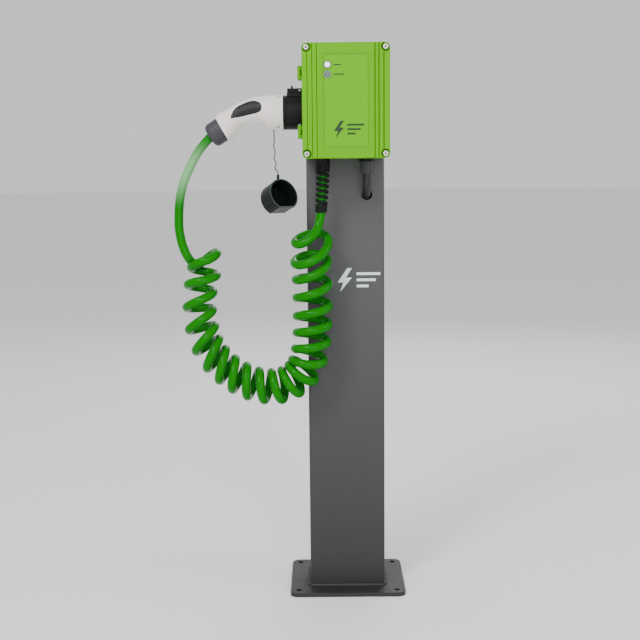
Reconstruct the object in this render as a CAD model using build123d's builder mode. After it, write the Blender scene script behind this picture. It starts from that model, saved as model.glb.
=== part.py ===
"""Free-standing vehicle charging post: steel column, plastic enclosure, tethered plug.

Millimetres, +Z up, front towards -Y. The origin is on the floor, at the middle of the
anchor-bolt pattern under the base plate. Distances "out" are measured forwards, along -Y,
from the middle of the column.
"""
from build123d import *
import os
from math import cos, degrees, radians, sin, tan

os.makedirs("parts", exist_ok=True)

# ---------------------------------------------------------------- driving dimensions
FIT_GAP = 0.3          # between pieces that move apart, or that are dropped into each other
RUNNING_GAP = 0.05     # radial clearance of a pin that turns in its bore

# Base plate and column
PLATE_WIDTH = 230.0
PLATE_DEPTH = 186.0
PLATE_THICK = 8.0
PLATE_CORNER = 15.0
ANCHOR_SPACING_X = 196.0
ANCHOR_SPACING_Y = 152.0
ANCHOR_HOLE_RADIUS = 5.5
CABLE_ENTRY_WIDTH = 90.0
CABLE_ENTRY_DEPTH = 50.0
COLUMN_WIDTH = 150.0
COLUMN_DEPTH = 100.0
COLUMN_WALL = 3.0
COLUMN_BEND = 6.0
COLUMN_TOP = 1040.0
WELD_LEG = 5.0
CAP_THICK = 4.0
CAP_PLUG_LENGTH = 16.0
CAP_PLUG_WALL = 2.5

# Enclosure: a box bolted to the column's front, and its hinged cover
BOX_WIDTH = 158.0
BOX_HEIGHT = 204.0
BOX_BOTTOM = 862.0
BOX_CORNER = 8.0
BOX_WALL = 3.0
BASE_LENGTH = 90.0     # the box's depth, forwards from the column
COVER_LENGTH = 30.0
RIM_LEDGE = 3.0
GASKET_DEPTH = 3.0
SCREW_INSET_X = 8.0    # cover screws, in from the box's sides
SCREW_INSET_Z = 8.0
SCREW_SHANK_RADIUS = 2.0
SCREW_HEAD_RADIUS = 4.9
SCREW_REACH = 5.0      # how far a cover screw enters the base
SCREW_POCKET_RADIUS = 8.4
SCREW_POCKET_DEPTH = 4.0
BOSS_RADIUS = 7.5
COUNTERBORE_RADIUS = 4.0
LEFT_GROOVES = (-69.4, -60.6, -52.3)
RIGHT_GROOVES = (51.9, 59.1, 67.8)
LEFT_GROOVE_WIDTH = 1.2
RIGHT_GROOVE_WIDTH = 2.4
GROOVE_DEPTH = 1.4
LABEL_WIDTH = 83.0
LABEL_HEIGHT = 168.0
LABEL_CENTRE_Z = 964.0
LABEL_RECESS = 0.6
LABEL_THICK = 0.4

# Cover hinges, on the box's left side
HINGE_OFFSET = 4.5     # the axis, out from the box's side
HINGE_PIN_RADIUS = 1.6
HINGE_BARREL_RADIUS = 4.1
KNUCKLE_HEIGHT = 7.4
BARREL_HEIGHT = 8.6
HINGE_CENTRES_Z = (1015.8, 909.7)
PIN_HEAD_RADIUS = 2.8
PIN_HEAD_HEIGHT = 2.6

# Indicator lamps on the cover
LAMP_X = -33.0
LAMP_HEIGHTS = (1027.0, 1010.3)
BEZEL_RADIUS = 6.8
BEZEL_HEIGHT = 1.8
LAMP_BARREL_RADIUS = 5.0
LAMP_BARREL_LENGTH = 20.0
LENS_RADIUS = 4.7
LAMP_NUT_THICK = 3.0

# Charging cable and its gland
CABLE_RADIUS = 8.5
COIL_RADIUS = 37.0     # outside of the curly stretch
GLAND_BORE_GAP = 0.3
CHARGE_GLAND_X = -43.5
CHARGE_GLAND_OUT = 95.0
CHARGE_NUT_RADIUS = 14.0
CHARGE_NUT_LENGTH = 16.0
GLAND_FLANGE_LENGTH = 6.0
GLAND_THREAD_RADIUS = 12.0
GLAND_THREAD_LENGTH = 12.0
LOCKNUT_THICK = 5.0
RELIEF_TURNS = 6
RELIEF_PITCH = 10.6
RELIEF_BAND = 5.6      # height of one turn of the bend relief
RELIEF_COLLAR_LENGTH = 14.0
RELIEF_COLLAR_RADIUS = 11.4

# Supply cable, from the ground up through the column
SUPPLY_RADIUS = 7.5
SUPPLY_GLAND_X = 40.0
SUPPLY_GLAND_OUT = 88.0
SUPPLY_NUT_RADIUS = 12.2
SUPPLY_NUT_LENGTH = 22.0
SUPPLY_HOLE_X = 41.7
SUPPLY_HOLE_Z = 793.5
SUPPLY_HOLE_RADIUS = 10.2
SUPPLY_BEND_RADIUS = 32.0
SUPPLY_END_Z = 70.0

# Holster on the box's left side, and the vehicle plug parked in it
PLUG_Z = 947.5
PLUG_OUT = 95.0
HOLSTER_RADIUS = 31.5
HOLSTER_LENGTH = 29.0  # out of the box's side
HOLSTER_SLEEVE_RADIUS = 29.7
HOLSTER_BORE_RADIUS = 27.5
HOLSTER_INSIDE = 16.0  # how far the sleeve reaches into the box
HOLSTER_END = 3.0
RING_NUT_RADIUS = 34.0
RING_NUT_THICK = 6.0
HUMP_WIDTH = 24.0
HUMP_TOP_Z = 983.0
KEYWAY_WIDTH = 11.0
KEYWAY_LENGTH = 7.5
CATCH_WIDTH = 16.0
CATCH_THICK = 7.6
CATCH_LENGTH = 27.0
CATCH_PIN_RADIUS = 1.5
CATCH_TAB_HEIGHT = 4.4
NOSE_RADIUS = 26.5
NOSE_FLAT = 21.0       # the plug's flat, above its axis
NOSE_WALL = 2.5
NOSE_REACH = 38.0      # how far the nose enters the holster
CORE_LENGTH = 34.0
CONTACT_RADIUS = 3.0
CONTACT_CIRCLE = 13.5
SEAL_THICK = 6.5
SEAL_RADIUS = 31.4
COLLAR_RADIUS = 32.5
COLLAR_LENGTH = 22.0
SHELL_WALL = 3.0
GRIP_PROUD = 0.5
GRIP_DEPTH = 1.5
RIB_PITCH = 5.1
RIB_GROOVE = 2.0
CABLE_NUT_RADIUS = 22.7
CABLE_NUT_LENGTH = 29.0
CABLE_NUT_ROUND = 9.0

# Dust cap, hung from the plug on a thin cord
DUST_CAP_RADIUS = 31.0
DUST_CAP_WALL = 2.5
DUST_CAP_DEPTH = 36.0
DUST_CAP_FLAT = 26.0
DUST_CAP_MOUTH = (-116.0, -106.0, 797.0)
DUST_CAP_YAW = 38.4    # turn of the mouth from facing front towards facing right
DUST_CAP_PITCH = 22.0  # upward tilt of the mouth
CAP_CORD_RADIUS = 1.25

# Equipment inside the enclosure
RAIL_Z = 1010.0
RAIL_LEFT = -54.0
RAIL_RIGHT = 56.0
RAIL_WIDTH = 35.0
RAIL_WEB = 25.0
RAIL_DEPTH = 7.5
RAIL_SHEET = 1.0
DEVICE_HEIGHT = 84.0
DEVICE_NOSE_HEIGHT = 45.0
DEVICE_SHOULDER = 44.0
DEVICE_NOSE = 66.0
DEVICE_BACK = 4.0      # clear of the box's back wall and its screw heads
BOARD_WIDTH = 80.0
BOARD_HEIGHT = 62.0
BOARD_X = 22.0
BOARD_Z = 905.0
BOARD_THICK = 1.6
STANDOFF = 8.0
WIRE_RADIUS = 1.7
CORE_STEP = 4.2        # between two cores where they leave their sheath

# ---------------------------------------------------------------- places worked out from them
COLUMN_OUT = COLUMN_DEPTH / 2
BASE_OUT = COLUMN_OUT + BASE_LENGTH
COVER_OUT = BASE_OUT + COVER_LENGTH
BOX_TOP = BOX_BOTTOM + BOX_HEIGHT
BOX_CENTRE_Z = BOX_BOTTOM + BOX_HEIGHT / 2
BOX_SIDE = BOX_WIDTH / 2
INNER_WIDTH = BOX_WIDTH - 2 * BOX_WALL
INNER_HEIGHT = BOX_HEIGHT - 2 * BOX_WALL
INNER_CORNER = BOX_CORNER - BOX_WALL
LEDGE_OUT = BASE_OUT - GASKET_DEPTH
COVER_REAR = BASE_OUT + FIT_GAP
COVER_SKIN = COVER_OUT - BOX_WALL
SCREW_X = BOX_SIDE - SCREW_INSET_X
SCREW_SPACING_Z = BOX_HEIGHT - 2 * SCREW_INSET_Z
HINGE_X = -BOX_SIDE - HINGE_OFFSET
HINGE_HEIGHT = BARREL_HEIGHT + 2 * (KNUCKLE_HEIGHT + FIT_GAP)
HOLSTER_MOUTH_X = -BOX_SIDE - HOLSTER_LENGTH
HOLSTER_FLOOR_X = -BOX_SIDE + HOLSTER_INSIDE
PLUG_Y = -PLUG_OUT
NOSE_TIP_X = HOLSTER_MOUTH_X + NOSE_REACH
SEAL_FACE_X = HOLSTER_MOUTH_X - FIT_GAP
COLLAR_FACE_X = SEAL_FACE_X - SEAL_THICK
COLLAR_END_X = COLLAR_FACE_X - COLLAR_LENGTH
CATCH_UNDER_Z = HUMP_TOP_Z + 0.5
GLAND_NUT_TOP_Z = BOX_BOTTOM - GLAND_FLANGE_LENGTH
CHARGE_EXIT_Z = GLAND_NUT_TOP_Z - CHARGE_NUT_LENGTH
SUPPLY_NUT_END_Z = GLAND_NUT_TOP_Z - SUPPLY_NUT_LENGTH
RELIEF_END_Z = CHARGE_EXIT_Z - RELIEF_TURNS * RELIEF_PITCH

# Sections of the plug's shell: centre x and z, tilt of the centreline, half width and height
PLUG_SECTIONS = (
    (COLLAR_END_X, PLUG_Z, 0.0, COLLAR_RADIUS, COLLAR_RADIUS),
    (COLLAR_END_X - 9.4, PLUG_Z + 1.7, 2.0, 29.2, 29.4),
    (COLLAR_END_X - 18.0, PLUG_Z + 4.9, 3.0, 26.0, 25.8),
    (COLLAR_END_X - 31.7, PLUG_Z + 4.8, 8.0, 24.2, 23.7),
    (COLLAR_END_X - 50.0, PLUG_Z + 0.2, 18.0, 22.4, 21.8),
    (COLLAR_END_X - 69.3, PLUG_Z - 9.5, 27.0, 21.6, 21.2),
    (COLLAR_END_X - 91.1, PLUG_Z - 27.9, 33.0, 21.2, 20.8),
)
TAIL_X, TAIL_Z, TAIL_TILT = PLUG_SECTIONS[-1][:3]

# Routes, as points that the runs join: hand-chosen, each bend spread over several points
COIL_ROUTE = (
    (-66.0, -96.0, 741.0),
    (-66.0, -96.0, 692.0),
    (-64.5, -95.0, 634.0),
    (-65.5, -95.0, 574.0),
    (-69.0, -95.0, 518.0),
    (-82.0, -95.0, 466.0),
    (-116.0, -95.0, 434.0),
    (-160.0, -95.0, 427.0),
    (-204.0, -95.0, 440.0),
    (-244.0, -95.0, 470.0),
    (-269.0, -95.0, 514.0),
    (-279.0, -95.0, 566.0),
    (-277.0, -95.0, 622.0),
    (-271.5, -95.0, 668.0),
    (-271.5, -95.0, 696.0),
)
LEAD_ROUTE = (
    (-299.5, -95.0, 696.3),
    (-299.5, -95.0, 716.0),
    (-309.0, -95.0, 744.0),
    (-313.0, -95.0, 776.0),
    (-307.5, -95.0, 816.0),
    (-295.0, -95.0, 851.0),
    (-277.5, -95.0, 882.5),
    (-253.7, -95.0, 903.0),
)
CAP_CORD_ROUTE = (
    (-133.5, -95.0, 913.3),
    (-132.6, -95.2, 902.9),
    (-133.4, -94.6, 892.0),
    (-134.8, -95.4, 884.5),
    (-130.6, -94.8, 875.5),
    (-135.1, -95.6, 863.8),
    (-128.7, -95.0, 853.1),
    (-133.9, -94.6, 845.0),
    (-127.0, -93.0, 840.4),
    (-127.0, -93.0, 833.0),
)


def front(out):
    """Plane facing the front, at a distance forwards of the column's middle: x right, y up."""
    return Plane.XZ.offset(out)


def facing_right(x, y=0.0, z=0.0):
    """Plane facing +X: local x runs along +Y, local y along +Z."""
    return Plane(origin=(x, y, z), x_dir=(0, 1, 0), z_dir=(1, 0, 0))


def facing_left(x, y=0.0, z=0.0):
    """Plane facing -X: local x runs along -Y, local y along +Z."""
    return Plane(origin=(x, y, z), x_dir=(0, -1, 0), z_dir=(-1, 0, 0))


def standing(x, y, z):
    """Plane facing up at a point."""
    return Plane(origin=(x, y, z), x_dir=(1, 0, 0), z_dir=(0, 0, 1))


# ================================================================ base plate and column
with BuildPart() as base_plate:
    with BuildSketch():
        RectangleRounded(PLATE_WIDTH, PLATE_DEPTH, PLATE_CORNER)
        RectangleRounded(CABLE_ENTRY_WIDTH, CABLE_ENTRY_DEPTH, 8, mode=Mode.SUBTRACT)
        with GridLocations(ANCHOR_SPACING_X, ANCHOR_SPACING_Y, 2, 2):
            Circle(ANCHOR_HOLE_RADIUS, mode=Mode.SUBTRACT)
    extrude(amount=PLATE_THICK)
    chamfer(base_plate.faces().sort_by(Axis.Z)[-1].outer_wire().edges(), length=0.8)
base_plate.part.label = "base_plate"
export_step(base_plate.part, "parts/base_plate.step")

MOUNT_SCREW_RADIUS = 3.0
MOUNT_SPACING_X = 126.0
MOUNT_SPACING_Z = 122.0
MOUNT_CENTRE_Z = 947.0
MOUNT_HEAD_THICK = 3.0
RIVET_BARREL_RADIUS = 4.5
RIVET_BARREL_LENGTH = 12.0
RIVET_FLANGE_RADIUS = 5.5

with BuildPart() as column_tube:
    with BuildSketch(Plane.XY.offset(PLATE_THICK)):
        RectangleRounded(COLUMN_WIDTH, COLUMN_DEPTH, COLUMN_BEND)
        RectangleRounded(
            COLUMN_WIDTH - 2 * COLUMN_WALL, COLUMN_DEPTH - 2 * COLUMN_WALL,
            COLUMN_BEND - COLUMN_WALL, mode=Mode.SUBTRACT,
        )
    extrude(amount=COLUMN_TOP - PLATE_THICK)
    with BuildSketch(front(COLUMN_OUT)):
        with Locations((SUPPLY_HOLE_X, SUPPLY_HOLE_Z)):
            Circle(SUPPLY_HOLE_RADIUS)
        with Locations((0, MOUNT_CENTRE_Z)):
            with GridLocations(MOUNT_SPACING_X, MOUNT_SPACING_Z, 2, 2):
                Circle(RIVET_BARREL_RADIUS)
    extrude(amount=-COLUMN_WALL, mode=Mode.SUBTRACT)
column_tube.part.label = "column_tube"
export_step(column_tube.part, "parts/column_tube.step")

with BuildPart() as column_weld:
    with BuildSketch(Plane.XY.offset(PLATE_THICK)):
        RectangleRounded(
            COLUMN_WIDTH + 2 * WELD_LEG, COLUMN_DEPTH + 2 * WELD_LEG, COLUMN_BEND + WELD_LEG
        )
        RectangleRounded(COLUMN_WIDTH, COLUMN_DEPTH, COLUMN_BEND, mode=Mode.SUBTRACT)
    extrude(amount=WELD_LEG)
    chamfer(column_weld.faces().sort_by(Axis.Z)[-1].outer_wire().edges(), length=0.8 * WELD_LEG)
column_weld.part.label = "column_weld"
export_step(column_weld.part, "parts/column_weld.step")

with BuildPart() as column_end_cap:
    with BuildSketch(Plane.XY.offset(COLUMN_TOP)):
        RectangleRounded(COLUMN_WIDTH, COLUMN_DEPTH, COLUMN_BEND)
    extrude(amount=CAP_THICK)
    fillet(column_end_cap.faces().sort_by(Axis.Z)[-1].edges(), radius=1.5)
    with BuildSketch(Plane.XY.offset(COLUMN_TOP)):
        plug_width = COLUMN_WIDTH - 2 * COLUMN_WALL - 2 * FIT_GAP
        plug_depth = COLUMN_DEPTH - 2 * COLUMN_WALL - 2 * FIT_GAP
        RectangleRounded(plug_width, plug_depth, COLUMN_BEND - COLUMN_WALL)
        Rectangle(plug_width - 2 * CAP_PLUG_WALL, plug_depth - 2 * CAP_PLUG_WALL, mode=Mode.SUBTRACT)
    extrude(amount=-CAP_PLUG_LENGTH)
column_end_cap.part.label = "column_end_cap"
export_step(column_end_cap.part, "parts/column_end_cap.step")

with BuildPart() as rivet_nuts:
    inside_wall = front(COLUMN_OUT)
    with BuildSketch(inside_wall):
        with Locations((0, MOUNT_CENTRE_Z)):
            with GridLocations(MOUNT_SPACING_X, MOUNT_SPACING_Z, 2, 2):
                Circle(RIVET_BARREL_RADIUS)
    extrude(amount=-RIVET_BARREL_LENGTH)
    with BuildSketch(front(COLUMN_OUT - COLUMN_WALL)):
        with Locations((0, MOUNT_CENTRE_Z)):
            with GridLocations(MOUNT_SPACING_X, MOUNT_SPACING_Z, 2, 2):
                Circle(RIVET_FLANGE_RADIUS)
    extrude(amount=-2)
    with BuildSketch(inside_wall):
        with Locations((0, MOUNT_CENTRE_Z)):
            with GridLocations(MOUNT_SPACING_X, MOUNT_SPACING_Z, 2, 2):
                Circle(MOUNT_SCREW_RADIUS)
    extrude(amount=-RIVET_BARREL_LENGTH, mode=Mode.SUBTRACT)
rivet_nuts.part.label = "rivet_nuts"
export_step(rivet_nuts.part, "parts/rivet_nuts.step")

# ================================================================ enclosure base
SUPPLY_PLACE = (SUPPLY_GLAND_X, -SUPPLY_GLAND_OUT)
CHARGE_PLACE = (CHARGE_GLAND_X, -CHARGE_GLAND_OUT)


def hinge_ear(sketch_plane, rearward):
    """Knuckle profile: a ring round the pin, with a tongue to the box's side."""
    with BuildSketch(sketch_plane) as profile:
        with Locations((HINGE_X, -BASE_OUT)):
            Circle(HINGE_BARREL_RADIUS)
        tongue_y = -BASE_OUT + rearward * (FIT_GAP + HINGE_BARREL_RADIUS / 2)
        with Locations((HINGE_X + HINGE_OFFSET / 2, tongue_y)):
            Rectangle(HINGE_OFFSET, HINGE_BARREL_RADIUS)
    return profile.sketch


with BuildPart() as enclosure_base:
    with BuildSketch(front(COLUMN_OUT)):
        with Locations((0, BOX_CENTRE_Z)):
            RectangleRounded(BOX_WIDTH, BOX_HEIGHT, BOX_CORNER)
    extrude(amount=BASE_LENGTH)
    with BuildSketch(front(COLUMN_OUT + BOX_WALL)):
        with Locations((0, BOX_CENTRE_Z)):
            RectangleRounded(INNER_WIDTH, INNER_HEIGHT, INNER_CORNER)
    extrude(amount=BASE_LENGTH, mode=Mode.SUBTRACT)
    # gasket ledge inside the rim
    with BuildSketch(front(LEDGE_OUT)):
        with Locations((0, BOX_CENTRE_Z)):
            RectangleRounded(INNER_WIDTH, INNER_HEIGHT, INNER_CORNER)
            Rectangle(INNER_WIDTH - 2 * RIM_LEDGE, INNER_HEIGHT - 2 * RIM_LEDGE, mode=Mode.SUBTRACT)
    extrude(amount=-RIM_LEDGE)
    # corner bosses that take the cover screws
    with BuildSketch(front(COLUMN_OUT + BOX_WALL)):
        with Locations((0, BOX_CENTRE_Z)):
            with GridLocations(2 * SCREW_X, SCREW_SPACING_Z, 2, 2):
                Circle(BOSS_RADIUS)
    extrude(amount=LEDGE_OUT - COLUMN_OUT - BOX_WALL)
    with BuildSketch(front(LEDGE_OUT)):
        with Locations((0, BOX_CENTRE_Z)):
            with GridLocations(2 * SCREW_X, SCREW_SPACING_Z, 2, 2):
                Circle(COUNTERBORE_RADIUS)
    extrude(amount=-2 * SCREW_REACH, mode=Mode.SUBTRACT)
    # board standoffs on the back wall
    with BuildSketch(front(COLUMN_OUT + BOX_WALL)):
        with Locations((BOARD_X, BOARD_Z)):
            with GridLocations(BOARD_WIDTH - 10, BOARD_HEIGHT - 10, 2, 2):
                Circle(3.5)
                Circle(1.25, mode=Mode.SUBTRACT)
    extrude(amount=STANDOFF)
    # centre barrels of the two hinges
    for centre_z in HINGE_CENTRES_Z:
        ear = hinge_ear(Plane.XY.offset(centre_z - BARREL_HEIGHT / 2), 1)
        extrude(ear, amount=BARREL_HEIGHT)
        with BuildSketch(Plane.XY.offset(centre_z - BARREL_HEIGHT / 2)):
            with Locations((HINGE_X, -BASE_OUT)):
                Circle(HINGE_PIN_RADIUS + RUNNING_GAP)
        extrude(amount=BARREL_HEIGHT, mode=Mode.SUBTRACT)
    # outer corner rounding is in the outline: trim whatever the bosses left proud of it
    with BuildSketch(front(COLUMN_OUT)):
        with Locations((HINGE_X / 2, BOX_CENTRE_Z)):
            Rectangle(2 * BOX_WIDTH, 2 * BOX_HEIGHT)
        with Locations((0, BOX_CENTRE_Z)):
            RectangleRounded(BOX_WIDTH, BOX_HEIGHT, BOX_CORNER, mode=Mode.SUBTRACT)
        with Locations((HINGE_X, BOX_CENTRE_Z)):
            Rectangle(4 * HINGE_BARREL_RADIUS, BOX_HEIGHT - 2 * BOX_CORNER, mode=Mode.SUBTRACT)
    extrude(amount=BASE_LENGTH, mode=Mode.SUBTRACT)
    # holes: two glands below, the holster at the side, four mounting screws behind
    with BuildSketch(Plane.XY.offset(BOX_BOTTOM)):
        with Locations(SUPPLY_PLACE, CHARGE_PLACE):
            Circle(GLAND_THREAD_RADIUS + FIT_GAP)
    extrude(amount=BOX_WALL, mode=Mode.SUBTRACT)
    with BuildSketch(facing_right(-BOX_SIDE)):
        with Locations((PLUG_Y, PLUG_Z)):
            Circle(HOLSTER_SLEEVE_RADIUS + FIT_GAP)
    extrude(amount=BOX_WALL, mode=Mode.SUBTRACT)
    with BuildSketch(front(COLUMN_OUT)):
        with Locations((0, MOUNT_CENTRE_Z)):
            with GridLocations(MOUNT_SPACING_X, MOUNT_SPACING_Z, 2, 2):
                Circle(MOUNT_SCREW_RADIUS + FIT_GAP)
    extrude(amount=BOX_WALL, mode=Mode.SUBTRACT)
enclosure_base.part.label = "enclosure_base"
export_step(enclosure_base.part, "parts/enclosure_base.step")

with BuildPart() as cover_gasket:
    with BuildSketch(front(LEDGE_OUT)):
        with Locations((0, BOX_CENTRE_Z)):
            RectangleRounded(INNER_WIDTH - 1, INNER_HEIGHT - 1, INNER_CORNER)
            Rectangle(INNER_WIDTH - 2 * RIM_LEDGE, INNER_HEIGHT - 2 * RIM_LEDGE, mode=Mode.SUBTRACT)
            with GridLocations(2 * SCREW_X, SCREW_SPACING_Z, 2, 2):
                Circle(BOSS_RADIUS)
            with GridLocations(2 * SCREW_X, SCREW_SPACING_Z, 2, 2):
                Circle(COUNTERBORE_RADIUS + 0.5, mode=Mode.SUBTRACT)
        with Locations((0, BOX_CENTRE_Z)):
            RectangleRounded(INNER_WIDTH - 1, INNER_HEIGHT - 1, INNER_CORNER, mode=Mode.INTERSECT)
    extrude(amount=GASKET_DEPTH)

with BuildPart() as mounting_screws:
    with BuildSketch(front(COLUMN_OUT + BOX_WALL)):
        with Locations((0, MOUNT_CENTRE_Z)):
            with GridLocations(MOUNT_SPACING_X, MOUNT_SPACING_Z, 2, 2):
                Circle(5.5)
    extrude(amount=MOUNT_HEAD_THICK)
    with BuildSketch(front(COLUMN_OUT + BOX_WALL)):
        with Locations((0, MOUNT_CENTRE_Z)):
            with GridLocations(MOUNT_SPACING_X, MOUNT_SPACING_Z, 2, 2):
                Circle(MOUNT_SCREW_RADIUS)
    extrude(amount=-(BOX_WALL + RIVET_BARREL_LENGTH))
    with BuildSketch(front(COLUMN_OUT + BOX_WALL + MOUNT_HEAD_THICK)):
        with Locations((0, MOUNT_CENTRE_Z)):
            with GridLocations(MOUNT_SPACING_X, MOUNT_SPACING_Z, 2, 2):
                RegularPolygon(2.3, 6)
    extrude(amount=-1.8, mode=Mode.SUBTRACT)
mounting_screws.part.label = "mounting_screws"
export_step(mounting_screws.part, "parts/mounting_screws.step")

# ================================================================ enclosure cover
with BuildPart() as enclosure_cover:
    with BuildSketch(front(COVER_REAR)):
        with Locations((0, BOX_CENTRE_Z)):
            RectangleRounded(BOX_WIDTH, BOX_HEIGHT, BOX_CORNER)
    extrude(amount=COVER_OUT - COVER_REAR)
    fillet(enclosure_cover.faces().sort_by(Axis.Y)[0].edges(), radius=2.2)
    with BuildSketch(front(COVER_REAR)):
        with Locations((0, BOX_CENTRE_Z)):
            RectangleRounded(INNER_WIDTH, INNER_HEIGHT, INNER_CORNER)
            with GridLocations(2 * SCREW_X, SCREW_SPACING_Z, 2, 2):
                Circle(BOSS_RADIUS, mode=Mode.SUBTRACT)
    extrude(amount=COVER_SKIN - COVER_REAR, mode=Mode.SUBTRACT)
    # screw pockets and shank holes in the four corners
    with BuildSketch(front(COVER_OUT)):
        with Locations((0, BOX_CENTRE_Z)):
            with GridLocations(2 * SCREW_X, SCREW_SPACING_Z, 2, 2):
                Circle(SCREW_POCKET_RADIUS)
    extrude(amount=-SCREW_POCKET_DEPTH, mode=Mode.SUBTRACT)
    with BuildSketch(front(COVER_OUT)):
        with Locations((0, BOX_CENTRE_Z)):
            with GridLocations(2 * SCREW_X, SCREW_SPACING_Z, 2, 2):
                Circle(SCREW_SHANK_RADIUS + 0.2)
    extrude(amount=-COVER_LENGTH, mode=Mode.SUBTRACT)
    # long grooves down both sides of the front, over the top and bottom edges
    with BuildSketch(front(COVER_OUT)):
        for groove_x in LEFT_GROOVES:
            with Locations((groove_x, BOX_CENTRE_Z)):
                Rectangle(LEFT_GROOVE_WIDTH, BOX_HEIGHT)
        for groove_x in RIGHT_GROOVES:
            with Locations((groove_x, BOX_CENTRE_Z)):
                Rectangle(RIGHT_GROOVE_WIDTH, BOX_HEIGHT)
    extrude(amount=-GROOVE_DEPTH, mode=Mode.SUBTRACT)
    # recess for the front label, and the lamp holes in it
    with BuildSketch(front(COVER_OUT)):
        with Locations((0, LABEL_CENTRE_Z)):
            RectangleRounded(LABEL_WIDTH, LABEL_HEIGHT, 2)
    extrude(amount=-LABEL_RECESS, mode=Mode.SUBTRACT)
    with BuildSketch(front(COVER_OUT)):
        for lamp_z in LAMP_HEIGHTS:
            with Locations((LAMP_X, lamp_z)):
                Circle(LAMP_BARREL_RADIUS + 0.1)
    extrude(amount=-2 * BOX_WALL, mode=Mode.SUBTRACT)
    # outer knuckles of the two hinges
    for centre_z in HINGE_CENTRES_Z:
        for foot_z in (centre_z - HINGE_HEIGHT / 2, centre_z + BARREL_HEIGHT / 2 + FIT_GAP):
            ear = hinge_ear(Plane.XY.offset(foot_z), -1)
            extrude(ear, amount=KNUCKLE_HEIGHT)
            with BuildSketch(Plane.XY.offset(foot_z)):
                with Locations((HINGE_X, -BASE_OUT)):
                    Circle(HINGE_PIN_RADIUS)
            extrude(amount=KNUCKLE_HEIGHT, mode=Mode.SUBTRACT)
enclosure_cover.part.label = "enclosure_cover"
export_step(enclosure_cover.part, "parts/enclosure_cover.step")

with BuildPart() as hinge_pins:
    for centre_z, head_below in zip(HINGE_CENTRES_Z, (True, False)):
        with BuildSketch(Plane.XY.offset(centre_z - HINGE_HEIGHT / 2)):
            with Locations((HINGE_X, -BASE_OUT)):
                Circle(HINGE_PIN_RADIUS)
        extrude(amount=HINGE_HEIGHT)
        if head_below:
            head_z = centre_z - HINGE_HEIGHT / 2 - PIN_HEAD_HEIGHT
        else:
            head_z = centre_z + HINGE_HEIGHT / 2
        with BuildSketch(Plane.XY.offset(head_z)):
            with Locations((HINGE_X, -BASE_OUT)):
                Circle(PIN_HEAD_RADIUS)
        extrude(amount=PIN_HEAD_HEIGHT)
hinge_pins.part.label = "hinge_pins"
export_step(hinge_pins.part, "parts/hinge_pins.step")

with BuildPart() as cover_screws:
    pocket_floor = COVER_OUT - SCREW_POCKET_DEPTH
    with BuildSketch(front(pocket_floor)):
        with Locations((0, BOX_CENTRE_Z)):
            with GridLocations(2 * SCREW_X, SCREW_SPACING_Z, 2, 2):
                Circle(SCREW_HEAD_RADIUS)
    extrude(amount=3.2)
    fillet(cover_screws.faces().group_by(Axis.Y)[0].edges(), radius=0.8)
    with BuildSketch(front(pocket_floor)):
        with Locations((0, BOX_CENTRE_Z)):
            with GridLocations(2 * SCREW_X, SCREW_SPACING_Z, 2, 2):
                Circle(SCREW_SHANK_RADIUS)
    extrude(amount=-(pocket_floor - LEDGE_OUT + SCREW_REACH))
    with BuildSketch(front(pocket_floor + 3.2)):
        with Locations((0, BOX_CENTRE_Z)):
            with GridLocations(2 * SCREW_X, SCREW_SPACING_Z, 2, 2):
                RegularPolygon(2.3, 6)
    extrude(amount=-2, mode=Mode.SUBTRACT)
cover_screws.part.label = "cover_screws"
export_step(cover_screws.part, "parts/cover_screws.step")

LABEL_FRONT = COVER_OUT - LABEL_RECESS + LABEL_THICK
with BuildPart() as front_label:
    with BuildSketch(front(COVER_OUT - LABEL_RECESS)):
        with Locations((0, LABEL_CENTRE_Z)):
            RectangleRounded(LABEL_WIDTH - FIT_GAP, LABEL_HEIGHT - FIT_GAP, 2)
        for lamp_z in LAMP_HEIGHTS:
            with Locations((LAMP_X, lamp_z)):
                Circle(LAMP_BARREL_RADIUS + 0.1, mode=Mode.SUBTRACT)
    extrude(amount=LABEL_THICK)
front_label.part.label = "front_label"
export_step(front_label.part, "parts/front_label.step")

with BuildPart() as lamp_housings:
    for lamp_z in LAMP_HEIGHTS:
        with BuildSketch(front(LABEL_FRONT)):
            with Locations((LAMP_X, lamp_z)):
                Circle(BEZEL_RADIUS)
        extrude(amount=BEZEL_HEIGHT)
        with BuildSketch(front(LABEL_FRONT)):
            with Locations((LAMP_X, lamp_z)):
                Circle(LAMP_BARREL_RADIUS)
        extrude(amount=-LAMP_BARREL_LENGTH)
        with BuildSketch(front(LABEL_FRONT + BEZEL_HEIGHT)):
            with Locations((LAMP_X, lamp_z)):
                Circle(LENS_RADIUS + 0.1)
        extrude(amount=-3, mode=Mode.SUBTRACT)
    chamfer(
        lamp_housings.faces().group_by(Axis.Y)[0].edges().filter_by(
            lambda edge: edge.radius > LENS_RADIUS + 1
        ),
        length=0.6,
    )
lamp_housings.part.label = "lamp_housings"
export_step(lamp_housings.part, "parts/lamp_housings.step")


def lamp_lens(lamp_z, lamp_name):
    """Domed lens, seated 3 mm down in its bezel."""
    seat = LABEL_FRONT + BEZEL_HEIGHT - 3
    with BuildPart() as lens:
        with BuildSketch(front(seat)):
            with Locations((LAMP_X, lamp_z)):
                Circle(LENS_RADIUS)
        extrude(amount=4.6)
        fillet(lens.faces().sort_by(Axis.Y)[0].edges(), radius=1.5)
    lens.part.label = lamp_name
    export_step(lens.part, f"parts/{lamp_name}.step")


lamp_lens(LAMP_HEIGHTS[0], "ready_lens")
lamp_lens(LAMP_HEIGHTS[1], "charging_lens")

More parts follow.
